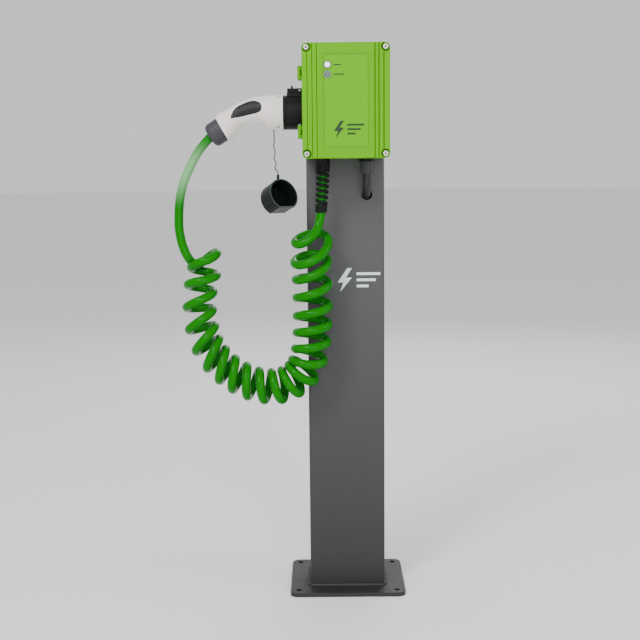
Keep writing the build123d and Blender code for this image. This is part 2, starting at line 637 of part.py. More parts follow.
with BuildPart() as lamp_nuts:
    with BuildSketch(front(COVER_SKIN)):
        for lamp_z in LAMP_HEIGHTS:
            with Locations((LAMP_X, lamp_z)):
                RegularPolygon(7.6, 6)
                Circle(LAMP_BARREL_RADIUS, mode=Mode.SUBTRACT)
    extrude(amount=-LAMP_NUT_THICK)
lamp_nuts.part.label = "lamp_nuts"
export_step(lamp_nuts.part, "parts/lamp_nuts.step")


# ================================================================ glands
CHARGE_BORE = CABLE_RADIUS + GLAND_BORE_GAP
SUPPLY_BORE = SUPPLY_RADIUS + GLAND_BORE_GAP

# Fixed halves: thread up through the box's floor, six-sided flange below it
with BuildPart() as gland_bodies:
    for place, bore in ((CHARGE_PLACE, CHARGE_BORE), (SUPPLY_PLACE, SUPPLY_BORE)):
        with BuildSketch(Plane.XY.offset(BOX_BOTTOM)):
            with Locations(place):
                Circle(GLAND_THREAD_RADIUS)
        extrude(amount=GLAND_THREAD_LENGTH)
        with BuildSketch(Plane.XY.offset(BOX_BOTTOM)):
            with Locations(place):
                RegularPolygon(GLAND_THREAD_RADIUS + 2.4, 6)
        extrude(amount=-GLAND_FLANGE_LENGTH)
        with BuildSketch(Plane.XY.offset(BOX_BOTTOM - GLAND_FLANGE_LENGTH)):
            with Locations(place):
                Circle(bore)
        extrude(amount=GLAND_FLANGE_LENGTH + GLAND_THREAD_LENGTH, mode=Mode.SUBTRACT)
gland_bodies.part.label = "gland_bodies"
export_step(gland_bodies.part, "parts/gland_bodies.step")


def gland_nut(place, bore, radius, length, ribs, name):
    """Domed clamping nut with grip ribs round it."""
    with BuildPart() as nut:
        with BuildSketch(Plane.XY.offset(GLAND_NUT_TOP_Z)):
            with Locations(place):
                Circle(radius)
                Circle(bore, mode=Mode.SUBTRACT)
                with PolarLocations(radius + 0.2, ribs):
                    Circle(0.9, mode=Mode.SUBTRACT)
        extrude(amount=-length)
        lowest = nut.faces().sort_by(Axis.Z)[0]
        chamfer(lowest.inner_wires()[0].edges(), length=0.5)
    nut.part.label = name
    export_step(nut.part, f"parts/{name}.step")


gland_nut(CHARGE_PLACE, CHARGE_BORE, CHARGE_NUT_RADIUS, CHARGE_NUT_LENGTH, 18, "charging_gland_nut")
gland_nut(SUPPLY_PLACE, SUPPLY_BORE, SUPPLY_NUT_RADIUS, SUPPLY_NUT_LENGTH, 16, "supply_gland_nut")

with BuildPart() as gland_locknuts:
    with BuildSketch(Plane.XY.offset(BOX_BOTTOM + BOX_WALL)):
        with Locations(SUPPLY_PLACE, CHARGE_PLACE):
            RegularPolygon(GLAND_THREAD_RADIUS + 3.5, 6)
            Circle(GLAND_THREAD_RADIUS, mode=Mode.SUBTRACT)
    extrude(amount=LOCKNUT_THICK)
gland_locknuts.part.label = "gland_locknuts"
export_step(gland_locknuts.part, "parts/gland_locknuts.step")

# Bend relief: bands that step down in diameter, joined by two webs, ending in a collar
with BuildPart() as bend_relief:
    relief_top = CHARGE_NUT_RADIUS - 0.2
    for turn in range(RELIEF_TURNS):
        band_top = CHARGE_EXIT_Z - turn * RELIEF_PITCH - (RELIEF_PITCH - RELIEF_BAND)
        band_radius = relief_top - turn * (relief_top - RELIEF_COLLAR_RADIUS) / RELIEF_TURNS
        with BuildSketch(Plane.XY.offset(band_top)):
            with Locations(CHARGE_PLACE):
                Circle(band_radius)
                Circle(CHARGE_BORE, mode=Mode.SUBTRACT)
        extrude(amount=-RELIEF_BAND)
    with BuildSketch(Plane.XY.offset(RELIEF_END_Z)):
        with Locations(CHARGE_PLACE):
            Circle(RELIEF_COLLAR_RADIUS)
            Circle(CHARGE_BORE, mode=Mode.SUBTRACT)
    extrude(amount=-RELIEF_COLLAR_LENGTH)
    with BuildSketch(Plane.XY.offset(CHARGE_EXIT_Z)):
        with Locations(CHARGE_PLACE):
            Rectangle(5, 2 * RELIEF_COLLAR_RADIUS - 1)
            Circle(CHARGE_BORE, mode=Mode.SUBTRACT)
    extrude(amount=-RELIEF_TURNS * RELIEF_PITCH - 1)
bend_relief.part.label = "bend_relief"
export_step(bend_relief.part, "parts/bend_relief.step")


# ================================================================ cables
def bend_radii(route, name):
    """Arc for each corner of a route: 0.45 of the shorter run over tan(half the turn)."""
    points = [Vector(*point) for point in route]
    radii = []
    for before, corner, after in zip(points, points[1:], points[2:]):
        turn = (corner - before).get_angle(after - corner)
        shorter = min((corner - before).length, (after - corner).length)
        radii.append(0.45 * shorter / tan(radians(turn / 2)))
    print(name, "bend radii:", [round(radius) for radius in radii])
    return radii


def cord_tube(route, tube_radius, name):
    """Round tube along straight runs joined by arcs."""
    with BuildPart() as tube:
        with BuildLine() as path:
            FilletPolyline(*route, radius=bend_radii(route, name))
        line = path.wire()
        with BuildSketch(Plane(origin=line @ 0, z_dir=line % 0)):
            Circle(tube_radius)
        sweep(path=line)
    swept = Circle(tube_radius).area * line.length
    print(name, "length", round(line.length, 1), "volume ratio", round(tube.part.volume / swept, 4))
    tube.part.label = name
    export_step(tube.part, f"parts/{name}.step")


cord_tube(COIL_ROUTE, COIL_RADIUS, "charging_cable_coil")
cord_tube(LEAD_ROUTE, CABLE_RADIUS, "charging_cable_lead")
cord_tube(CAP_CORD_ROUTE, CAP_CORD_RADIUS, "cap_cord")


def core_bundle(routes, bend, name):
    """Insulated cores, one solid each, every corner with the same bend."""
    with BuildPart() as bundle:
        for route in routes:
            with BuildLine() as path:
                FilletPolyline(*route, radius=bend)
            line = path.wire()
            with BuildSketch(Plane(origin=line @ 0, z_dir=line % 0)):
                Circle(WIRE_RADIUS)
            sweep(path=line)
    bundle.part.label = name
    export_step(bundle.part, f"parts/{name}.step")


def cores_between(place, foot_z, terminals_x, terminal_y, terminal_z):
    """One route per core, from a sheath's end straight up, across, and up into its terminal."""
    routes = []
    for index, terminal_x in enumerate(terminals_x):
        start_y = place[1] + (index - 1) * CORE_STEP
        routes.append((
            (place[0], start_y, foot_z),
            (place[0], start_y, foot_z + 14),
            (terminal_x, terminal_y, terminal_z - 16),
            (terminal_x, terminal_y, terminal_z),
        ))
    return routes


SHEATH_END_Z = 902.0
DEVICE_FOOT_Z = RAIL_Z - DEVICE_HEIGHT / 2
DEVICE_XS = {"control_module": -34.0, "contactor": 4.0, "residual_current_breaker": 42.0}
DEVICE_WIDTH = 35.0
TERMINAL_STEP = 10.0
TERMINAL_OUT = 86.0

with BuildPart() as supply_cable:
    with BuildLine() as supply_path:
        FilletPolyline(
            (SUPPLY_GLAND_X, -SUPPLY_GLAND_OUT, SHEATH_END_Z),
            (SUPPLY_GLAND_X, -SUPPLY_GLAND_OUT, SUPPLY_HOLE_Z + 1),
            (SUPPLY_HOLE_X, -12, SUPPLY_HOLE_Z - 1),
            (SUPPLY_HOLE_X, -12, SUPPLY_END_Z),
            radius=SUPPLY_BEND_RADIUS,
        )
    supply_line = supply_path.wire()
    with BuildSketch(Plane(origin=supply_line @ 0, z_dir=supply_line % 0)):
        Circle(SUPPLY_RADIUS)
    sweep(path=supply_line)
supply_cable.part.label = "supply_cable"
export_step(supply_cable.part, "parts/supply_cable.step")

# The straight stretch below the gland, and the stretch from the gland into the box
with BuildPart() as charging_cable_tail:
    with BuildSketch(standing(*CHARGE_PLACE, CHARGE_EXIT_Z)):
        Circle(CABLE_RADIUS)
    extrude(amount=-(CHARGE_EXIT_Z - COIL_ROUTE[0][2] - FIT_GAP))
charging_cable_tail.part.label = "charging_cable_tail"
export_step(charging_cable_tail.part, "parts/charging_cable_tail.step")

with BuildPart() as charging_cable_end:
    with BuildSketch(standing(*CHARGE_PLACE, CHARGE_EXIT_Z)):
        Circle(CABLE_RADIUS)
    extrude(amount=SHEATH_END_Z - CHARGE_EXIT_Z)
charging_cable_end.part.label = "charging_cable_end"
export_step(charging_cable_end.part, "parts/charging_cable_end.step")


def terminal_xs(device):
    """Places of a device's three terminals."""
    return [DEVICE_XS[device] + step * TERMINAL_STEP for step in (-1, 0, 1)]


core_bundle(
    [
        *cores_between(SUPPLY_PLACE, SHEATH_END_Z, terminal_xs("residual_current_breaker"),
                       -TERMINAL_OUT, DEVICE_FOOT_Z),
        *cores_between(CHARGE_PLACE, SHEATH_END_Z, terminal_xs("contactor"),
                       -TERMINAL_OUT, DEVICE_FOOT_Z),
    ],
    9, "internal_wires",
)

# Leads of the two lamps, tied back to the cover near its hinges
LAMP_REAR_OUT = LABEL_FRONT - LAMP_BARREL_LENGTH
LEAD_OUT = LAMP_REAR_OUT - 5
core_bundle(
    [
        (
            (LAMP_X, -LAMP_REAR_OUT, lamp_z),
            (LAMP_X, -LEAD_OUT, lamp_z),
            (lead_x, -LEAD_OUT, lamp_z - 10),
            (lead_x, -LEAD_OUT, lamp_z - 45),
        )
        for lamp_z, lead_x in zip(LAMP_HEIGHTS, (LAMP_X - 32, LAMP_X - 32 + CORE_STEP))
    ],
    3, "lamp_leads",
)

# ================================================================ holster and its catch
CATCH_PIN_X = -BOX_SIDE - 5.5
CATCH_PIN_Z = CATCH_UNDER_Z + CATCH_THICK / 2
HOLSTER_GASKET = 1.5
HOLSTER_REAR_X = -BOX_SIDE - HOLSTER_GASKET
LUG_THICK = 3.0

with BuildPart() as holster_housing:
    with BuildSketch(facing_right(HOLSTER_MOUTH_X, PLUG_Y, PLUG_Z)):
        Circle(HOLSTER_RADIUS)
        with Locations((0, (HUMP_TOP_Z - PLUG_Z) / 2)):
            Rectangle(HUMP_WIDTH, HUMP_TOP_Z - PLUG_Z)
    extrude(amount=HOLSTER_REAR_X - HOLSTER_MOUTH_X)
    with BuildSketch(facing_right(HOLSTER_REAR_X, PLUG_Y, PLUG_Z)):
        Circle(HOLSTER_SLEEVE_RADIUS)
    extrude(amount=HOLSTER_FLOOR_X - HOLSTER_REAR_X)
    with BuildSketch(facing_right(HOLSTER_MOUTH_X, PLUG_Y, PLUG_Z)):
        Circle(HOLSTER_BORE_RADIUS)
    extrude(amount=HOLSTER_FLOOR_X - HOLSTER_END - HOLSTER_MOUTH_X, mode=Mode.SUBTRACT)
    with BuildSketch(facing_right(HOLSTER_MOUTH_X, PLUG_Y, HUMP_TOP_Z)):
        Rectangle(KEYWAY_WIDTH, 2 * (HUMP_TOP_Z - PLUG_Z - HOLSTER_BORE_RADIUS) + 4)
    extrude(amount=KEYWAY_LENGTH, mode=Mode.SUBTRACT)
    # lugs that hold the catch's pin
    lug_middle = (CATCH_WIDTH + LUG_THICK) / 2 + FIT_GAP
    with BuildSketch(Plane.XZ.offset(PLUG_OUT - lug_middle - LUG_THICK / 2)):
        with Locations((CATCH_PIN_X, (HUMP_TOP_Z + CATCH_PIN_Z + CATCH_THICK / 2) / 2 - 1)):
            Rectangle(8, CATCH_PIN_Z + CATCH_THICK / 2 - HUMP_TOP_Z + 2)
    extrude(amount=LUG_THICK)
    with BuildSketch(Plane.XZ.offset(PLUG_OUT + lug_middle - LUG_THICK / 2)):
        with Locations((CATCH_PIN_X, (HUMP_TOP_Z + CATCH_PIN_Z + CATCH_THICK / 2) / 2 - 1)):
            Rectangle(8, CATCH_PIN_Z + CATCH_THICK / 2 - HUMP_TOP_Z + 2)
    extrude(amount=LUG_THICK)
    with BuildSketch(Plane.XZ.offset(PLUG_OUT - CATCH_WIDTH)):
        with Locations((CATCH_PIN_X, CATCH_PIN_Z)):
            Circle(CATCH_PIN_RADIUS + RUNNING_GAP)
    extrude(amount=2 * CATCH_WIDTH, mode=Mode.SUBTRACT)
holster_housing.part.label = "holster_housing"
export_step(holster_housing.part, "parts/holster_housing.step")

with BuildPart() as enclosure_gaskets:
    add(cover_gasket.part)
    with BuildSketch(facing_right(HOLSTER_REAR_X, PLUG_Y, PLUG_Z)):
        Circle(HOLSTER_RADIUS - 0.5)
        Circle(HOLSTER_SLEEVE_RADIUS, mode=Mode.SUBTRACT)
    extrude(amount=HOLSTER_GASKET)
enclosure_gaskets.part.label = "enclosure_gaskets"
export_step(enclosure_gaskets.part, "parts/enclosure_gaskets.step")

with BuildPart() as holster_ring_nut:
    with BuildSketch(facing_right(-BOX_SIDE + BOX_WALL, PLUG_Y, PLUG_Z)):
        Circle(RING_NUT_RADIUS)
        Circle(HOLSTER_SLEEVE_RADIUS, mode=Mode.SUBTRACT)
        with PolarLocations(RING_NUT_RADIUS, 8):
            Rectangle(4, 5, mode=Mode.SUBTRACT)
    extrude(amount=RING_NUT_THICK)
holster_ring_nut.part.label = "holster_ring_nut"
export_step(holster_ring_nut.part, "parts/holster_ring_nut.step")

CATCH_FRONT_X = HOLSTER_MOUTH_X + 0.5
with BuildPart() as holster_catch:
    with BuildSketch(Plane.XZ.offset(PLUG_OUT - CATCH_WIDTH / 2)):
        with Locations((CATCH_FRONT_X, CATCH_UNDER_Z)):
            Rectangle(CATCH_LENGTH, CATCH_THICK, align=(Align.MIN, Align.MIN))
    extrude(amount=CATCH_WIDTH)
    upright = holster_catch.edges().filter_by(Axis.Y)
    fillet(upright.group_by(Axis.X)[-1], radius=CATCH_THICK / 2 - 0.1)
    fillet(holster_catch.edges().filter_by(Axis.Y).group_by(Axis.X)[0], radius=1)
    with BuildSketch(Plane.XZ.offset(PLUG_OUT - CATCH_WIDTH / 2)):
        with Locations((CATCH_FRONT_X + 7, CATCH_UNDER_Z + CATCH_THICK - 0.5)):
            Rectangle(3.5, CATCH_TAB_HEIGHT + 0.5, align=(Align.MIN, Align.MIN))
    extrude(amount=CATCH_WIDTH)
    # tooth that rides in the holster's keyway, just above the plug's seal
    with BuildSketch(Plane.XY.offset(CATCH_UNDER_Z)):
        with Locations((CATCH_FRONT_X + 2.5, PLUG_Y)):
            Rectangle(5, KEYWAY_WIDTH - 2)
    extrude(amount=-(CATCH_UNDER_Z - PLUG_Z - SEAL_RADIUS - 0.5))
    with BuildSketch(Plane.XZ.offset(PLUG_OUT - CATCH_WIDTH / 2)):
        with Locations((CATCH_PIN_X, CATCH_PIN_Z)):
            Circle(CATCH_PIN_RADIUS)
    extrude(amount=CATCH_WIDTH, mode=Mode.SUBTRACT)
    with BuildSketch(Plane.XZ.offset(PLUG_OUT - 3)):
        with Locations((CATCH_PIN_X, CATCH_PIN_Z)):
            Circle(CATCH_PIN_RADIUS + 1.5)
    extrude(amount=6, mode=Mode.SUBTRACT)
holster_catch.part.label = "holster_catch"
export_step(holster_catch.part, "parts/holster_catch.step")

with BuildPart() as catch_pin:
    with BuildSketch(Plane.XZ.offset(PLUG_OUT - lug_middle - LUG_THICK / 2)):
        with Locations((CATCH_PIN_X, CATCH_PIN_Z)):
            Circle(CATCH_PIN_RADIUS)
    extrude(amount=2 * lug_middle + LUG_THICK)
catch_pin.part.label = "catch_pin"
export_step(catch_pin.part, "parts/catch_pin.step")

with BuildPart() as catch_spring:
    for turn in range(4):
        with BuildSketch(Plane.XZ.offset(PLUG_OUT - 2.8 + turn * 1.4)):
            with Locations((CATCH_PIN_X, CATCH_PIN_Z)):
                Circle(CATCH_PIN_RADIUS + 1.2)
                Circle(CATCH_PIN_RADIUS + 0.1, mode=Mode.SUBTRACT)
        extrude(amount=1.4)
catch_spring.part.label = "catch_spring"
export_step(catch_spring.part, "parts/catch_spring.step")


# ================================================================ vehicle plug
def nose_profile(x, inset):
    """Round outline with a flat on top, in a plane that faces right."""
    with BuildSketch(facing_right(x, PLUG_Y, PLUG_Z)) as profile:
        Circle(NOSE_RADIUS - inset)
        with Locations((0, NOSE_FLAT - inset)):
            Rectangle(
                2 * NOSE_RADIUS, NOSE_RADIUS,
                align=(Align.CENTER, Align.MIN), mode=Mode.SUBTRACT,
            )
    return profile.sketch


COLLAR_BORE_RADIUS = COLLAR_RADIUS - SHELL_WALL
FLANGE_LENGTH = 8.0
CORE_INSET = 3.0

with BuildPart() as connector_nose:
    extrude(nose_profile(COLLAR_FACE_X, 0), amount=NOSE_TIP_X - COLLAR_FACE_X)
    fillet(connector_nose.faces().sort_by(Axis.X)[-1].edges(), radius=1)
    extrude(
        nose_profile(COLLAR_FACE_X, NOSE_WALL),
        amount=NOSE_TIP_X - COLLAR_FACE_X, mode=Mode.SUBTRACT,
    )
    with BuildSketch(facing_left(COLLAR_FACE_X, PLUG_Y, PLUG_Z)):
        Circle(COLLAR_BORE_RADIUS - 0.1)
    extrude(amount=FLANGE_LENGTH)
    extrude(
        nose_profile(COLLAR_FACE_X - FLANGE_LENGTH, NOSE_WALL + CORE_INSET),
        amount=FLANGE_LENGTH, mode=Mode.SUBTRACT,
    )
connector_nose.part.label = "connector_nose"
export_step(connector_nose.part, "parts/connector_nose.step")

with BuildPart() as connector_core:
    extrude(
        nose_profile(COLLAR_FACE_X - FLANGE_LENGTH, NOSE_WALL + CORE_INSET + 0.05),
        amount=FLANGE_LENGTH + CORE_LENGTH,
    )
    with BuildSketch(facing_right(COLLAR_FACE_X - FLANGE_LENGTH, PLUG_Y, PLUG_Z)):
        Circle(CONTACT_RADIUS)
        with PolarLocations(CONTACT_CIRCLE, 6):
            Circle(CONTACT_RADIUS)
    extrude(amount=FLANGE_LENGTH + CORE_LENGTH, mode=Mode.SUBTRACT)
connector_core.part.label = "connector_core"
export_step(connector_core.part, "parts/connector_core.step")

with BuildPart() as connector_contacts:
    with BuildSketch(facing_right(COLLAR_FACE_X - FLANGE_LENGTH, PLUG_Y, PLUG_Z)):
        Circle(CONTACT_RADIUS)
        Circle(CONTACT_RADIUS / 2, mode=Mode.SUBTRACT)
        with PolarLocations(CONTACT_CIRCLE, 6):
            Circle(CONTACT_RADIUS)
            Circle(CONTACT_RADIUS / 2, mode=Mode.SUBTRACT)
    extrude(amount=FLANGE_LENGTH + CORE_LENGTH - 1.5)
connector_contacts.part.label = "connector_contacts"
export_step(connector_contacts.part, "parts/connector_contacts.step")

with BuildPart() as connector_seal:
    with BuildSketch(facing_right(COLLAR_FACE_X, PLUG_Y, PLUG_Z)):
        Circle(SEAL_RADIUS)
        Circle(NOSE_RADIUS + 0.1, mode=Mode.SUBTRACT)
    extrude(amount=SEAL_THICK)
connector_seal.part.label = "connector_seal"
export_step(connector_seal.part, "parts/connector_seal.step")

COLLAR_SCREW_ANGLES = (64.0, 116.0, -56.0, -124.0)
COLLAR_SCREW_X = COLLAR_FACE_X - 9.0
COLLAR_SCREW_RADIUS = 1.9
ANCHOR_X = CAP_CORD_ROUTE[0][0]
ANCHOR_SHANK_RADIUS = 1.5


def around_collar(x, angle, out):
    """Plane that faces out from the plug's axis; 90 degrees is up and 0 is towards the back."""
    outward = Vector(0, cos(radians(angle)), sin(radians(angle)))
    return Plane(origin=Vector(x, PLUG_Y, PLUG_Z) + outward * out, x_dir=(1, 0, 0), z_dir=outward)


with BuildPart() as connector_collar:
    with BuildSketch(facing_left(COLLAR_FACE_X, PLUG_Y, PLUG_Z)):
        Circle(COLLAR_RADIUS)
    extrude(amount=COLLAR_LENGTH)
    fillet(connector_collar.faces().sort_by(Axis.X)[-1].edges(), radius=1.2)
    with BuildSketch(facing_left(COLLAR_FACE_X, PLUG_Y, PLUG_Z)):
        Circle(COLLAR_BORE_RADIUS)
    extrude(amount=COLLAR_LENGTH, mode=Mode.SUBTRACT)
    for angle in COLLAR_SCREW_ANGLES:
        with BuildSketch(around_collar(COLLAR_SCREW_X, angle, COLLAR_RADIUS)):
            Circle(COLLAR_SCREW_RADIUS)
        extrude(amount=-SHELL_WALL - 1, mode=Mode.SUBTRACT)
    with BuildSketch(around_collar(ANCHOR_X, -90, COLLAR_RADIUS)):
        Circle(ANCHOR_SHANK_RADIUS)
    extrude(amount=-SHELL_WALL - 1, mode=Mode.SUBTRACT)
connector_collar.part.label = "connector_collar"
export_step(connector_collar.part, "parts/connector_collar.step")

with BuildPart() as cap_cord_anchor:
    with BuildSketch(around_collar(ANCHOR_X, -90, COLLAR_RADIUS)):
        Circle(2.6)
    extrude(amount=1.0)
    with BuildSketch(around_collar(ANCHOR_X, -90, COLLAR_RADIUS)):
        Circle(ANCHOR_SHANK_RADIUS)
    extrude(amount=-SHELL_WALL)
cap_cord_anchor.part.label = "cap_cord_anchor"
export_step(cap_cord_anchor.part, "parts/cap_cord_anchor.step")


TAIL_SCREW_ANGLES = (58.0, -58.0)
TAIL_SCREW_BACK = 5.0   # from the shell's end, along the cable
TAIL_SCREW_OUT = PLUG_SECTIONS[-1][3] - 0.5


def tail_screw(angle, out):
    """Plane that faces out from the shell's tail; 0 degrees is the front and 90 is upwards."""
    tilt = radians(TAIL_TILT)
    up = Vector(-sin(tilt), 0, cos(tilt))
    outward = Vector(0, -cos(radians(angle)), 0) + up * sin(radians(angle))
    middle = Vector(TAIL_X + TAIL_SCREW_BACK * cos(tilt), PLUG_Y, TAIL_Z + TAIL_SCREW_BACK * sin(tilt))
    return Plane(origin=middle + outward * out, x_dir=(cos(tilt), 0, sin(tilt)), z_dir=outward)


def section_plane(x, z, tilt):
    """Plane across the plug's centreline, facing back along it towards the cable."""
    return Plane(
        origin=(x, PLUG_Y, z), x_dir=(0, 1, 0), z_dir=(-cos(radians(tilt)), 0, -sin(radians(tilt)))
    )


def plug_body(inset):
    """Curved plug body through its sections, shrunk all round by the inset."""
    with BuildPart() as body:
        for x, z, tilt, half_width, half_height in PLUG_SECTIONS:
            with BuildSketch(section_plane(x, z, tilt)):
                Ellipse(half_width - inset, half_height - inset)
        loft()
    return body.part


GRIP_OUTLINE = tuple((COLLAR_END_X + x, PLUG_Z + z) for x, z in (
    (-75.0, -8.9), (-72.5, -1.3), (-66.6, 7.9), (-52.1, 16.2), (-37.8, 20.8), (-26.3, 20.4),
    (-19.8, 16.4), (-17.4, 8.8), (-19.8, 2.4), (-26.0, -0.9), (-41.1, -4.4), (-55.5, -7.7),
    (-68.4, -9.8),
))
RIB_COUNT = 10
RIB_MIDDLE_X = COLLAR_END_X - 45.0


def grip_prism(side):
    """Grip outline, drawn from the plug's middle out towards one side."""
    with BuildPart() as prism:
        with BuildSketch(front(PLUG_OUT)):
            with BuildLine():
                Spline(*GRIP_OUTLINE, periodic=True)
            make_face()
        extrude(amount=side * 2 * COLLAR_RADIUS)
    return prism.part


plug_outer = plug_body(0)
plug_inner = plug_body(SHELL_WALL)
grip_skin = plug_body(-GRIP_PROUD)
grip_floor = plug_body(GRIP_DEPTH)
rib_floor = plug_body(0.3)

with BuildPart() as rib_cutter:
    with BuildSketch(front(PLUG_OUT)):
        with Locations((RIB_MIDDLE_X, PLUG_Z + 8)):
            with GridLocations(RIB_PITCH, 1, RIB_COUNT, 1):
                Rectangle(RIB_GROOVE, 60)
    extrude(amount=2 * COLLAR_RADIUS, both=True)
    add(rib_floor, mode=Mode.SUBTRACT)


def grip_pocket(side):
    """Space that one grip fills: its outline, down to the floor under the rubber."""
    prism = grip_prism(side)
    with BuildPart() as pocket:
        add(prism)
        add(grip_floor, mode=Mode.SUBTRACT)
    return pocket.part


def plug_shell(side, name):
    """One half of the plug's shell, with the pocket for its grip."""
    pocket = grip_pocket(side)
    with BuildPart() as shell:
        add(plug_outer)
        add(plug_inner, mode=Mode.SUBTRACT)
        split(bisect_by=front(PLUG_OUT), keep=Keep.TOP if side > 0 else Keep.BOTTOM)
        add(pocket, mode=Mode.SUBTRACT)
        if side > 0:
            for angle in TAIL_SCREW_ANGLES:
                with BuildSketch(tail_screw(angle, TAIL_SCREW_OUT + 2)):
                    Circle(COLLAR_SCREW_RADIUS)
                extrude(amount=-SHELL_WALL, mode=Mode.SUBTRACT)
    shell.part.label = name
    export_step(shell.part, f"parts/{name}.step")


plug_shell(1, "connector_shell_front")
plug_shell(-1, "connector_shell_back")

front_pocket = grip_pocket(1)
back_pocket = grip_pocket(-1)
with BuildPart() as both_pockets:
    add(front_pocket)
    add(back_pocket)
with BuildPart() as connector_grips:
    add(grip_skin)
    add(both_pockets.part, mode=Mode.INTERSECT)
    add(rib_cutter.part, mode=Mode.SUBTRACT)
connector_grips.part.label = "connector_grips"
export_step(connector_grips.part, "parts/connector_grips.step")

with BuildPart() as connector_screws:
    for angle in COLLAR_SCREW_ANGLES:
        with BuildSketch(around_collar(COLLAR_SCREW_X, angle, COLLAR_RADIUS - 0.6)):
            Circle(COLLAR_SCREW_RADIUS)
        extrude(amount=-(SHELL_WALL - 0.6))
    for angle in TAIL_SCREW_ANGLES:
        with BuildSketch(tail_screw(angle, TAIL_SCREW_OUT - 0.1)):
            Circle(COLLAR_SCREW_RADIUS - 0.1)
        extrude(amount=-0.8)
connector_screws.part.label = "connector_screws"
export_step(connector_screws.part, "parts/connector_screws.step")

NUT_PLANE = section_plane(TAIL_X, TAIL_Z, TAIL_TILT).offset(0.4)
with BuildPart() as connector_cable_nut:
    with BuildSketch(NUT_PLANE):
        Circle(CABLE_NUT_RADIUS)
    extrude(amount=CABLE_NUT_LENGTH)
    farthest = connector_cable_nut.faces().sort_by(Axis.X)[0]
    fillet(farthest.edges(), radius=CABLE_NUT_ROUND)
    with BuildSketch(NUT_PLANE):
        Circle(CABLE_RADIUS + GLAND_BORE_GAP)
    extrude(amount=CABLE_NUT_LENGTH, mode=Mode.SUBTRACT)
    with BuildSketch(NUT_PLANE):
        with PolarLocations(CABLE_NUT_RADIUS + 0.4, 24):
            Circle(0.9)
    extrude(amount=CABLE_NUT_LENGTH - CABLE_NUT_ROUND - 1, mode=Mode.SUBTRACT)
connector_cable_nut.part.label = "connector_cable_nut"
export_step(connector_cable_nut.part, "parts/connector_cable_nut.step")

CLAMP_DEPTH = 30.0
with BuildPart() as connector_cable_end:
    with BuildSketch(NUT_PLANE.offset(-CLAMP_DEPTH)):
        Circle(CABLE_RADIUS)
    extrude(amount=CLAMP_DEPTH + CABLE_NUT_LENGTH)
connector_cable_end.part.label = "connector_cable_end"
export_step(connector_cable_end.part, "parts/connector_cable_end.step")

with BuildPart() as connector_cable_clamp:
    with BuildSketch(NUT_PLANE.offset(-14)):
        Circle(14)
        Circle(CABLE_RADIUS, mode=Mode.SUBTRACT)
        with Locations((0, 14), (0, -14)):
            Rectangle(40, 8, mode=Mode.SUBTRACT)
    extrude(amount=9)
connector_cable_clamp.part.label = "connector_cable_clamp"
export_step(connector_cable_clamp.part, "parts/connector_cable_clamp.step")

core_bundle(
    [
        (
            (TAIL_X + 25.0, PLUG_Y + side, TAIL_Z + 17.4),
            (COLLAR_END_X - 42.0, PLUG_Y + side, PLUG_Z + 3.0),
            (COLLAR_END_X - 14.0, PLUG_Y + side, PLUG_Z + 4.0),
            (COLLAR_FACE_X - FLANGE_LENGTH - 1.5, PLUG_Y + 1.6 * side, PLUG_Z),
        )
        for side in (-CORE_STEP, 0.0, CORE_STEP)
    ],
    16, "connector_wires",
)

# ================================================================ dust cap
yaw = radians(DUST_CAP_YAW)
pitch = radians(DUST_CAP_PITCH)
cap_mouth = Plane(
    origin=DUST_CAP_MOUTH,
    x_dir=(cos(yaw), sin(yaw), 0),
    z_dir=(sin(yaw) * cos(pitch), -cos(yaw) * cos(pitch), sin(pitch)),
)
CAP_RIM_LIP = 0.8
CAP_RIM_LENGTH = 3.0
CAP_TAB_RADIUS = 2.6


def cap_profile(plane, inset):
    """Round outline with a flat along its lower edge."""
    with BuildSketch(plane) as profile:
        Circle(DUST_CAP_RADIUS - inset)
        with Locations((0, inset - DUST_CAP_FLAT)):
            Rectangle(
                2 * DUST_CAP_RADIUS, DUST_CAP_RADIUS,
                align=(Align.CENTER, Align.MAX), mode=Mode.SUBTRACT,
            )
    return profile.sketch


with BuildPart() as dust_cap:
    extrude(cap_profile(cap_mouth, CAP_RIM_LIP), amount=-DUST_CAP_DEPTH)
    closed_end = dust_cap.faces().filter_by(GeomType.PLANE).sort_by(
        lambda face: (face.center() - cap_mouth.origin).length
    )[-1]
    fillet(closed_end.edges(), radius=3)
    extrude(cap_profile(cap_mouth, 0), amount=-CAP_RIM_LENGTH)
    with BuildSketch(standing(*CAP_CORD_ROUTE[-1][:2], CAP_CORD_ROUTE[-1][2])):
        Circle(CAP_TAB_RADIUS)
    extrude(amount=-14)
    extrude(
        cap_profile(cap_mouth, DUST_CAP_WALL),
        amount=DUST_CAP_WALL - DUST_CAP_DEPTH, mode=Mode.SUBTRACT,
    )
dust_cap.part.label = "dust_cap"
export_step(dust_cap.part, "parts/dust_cap.step")

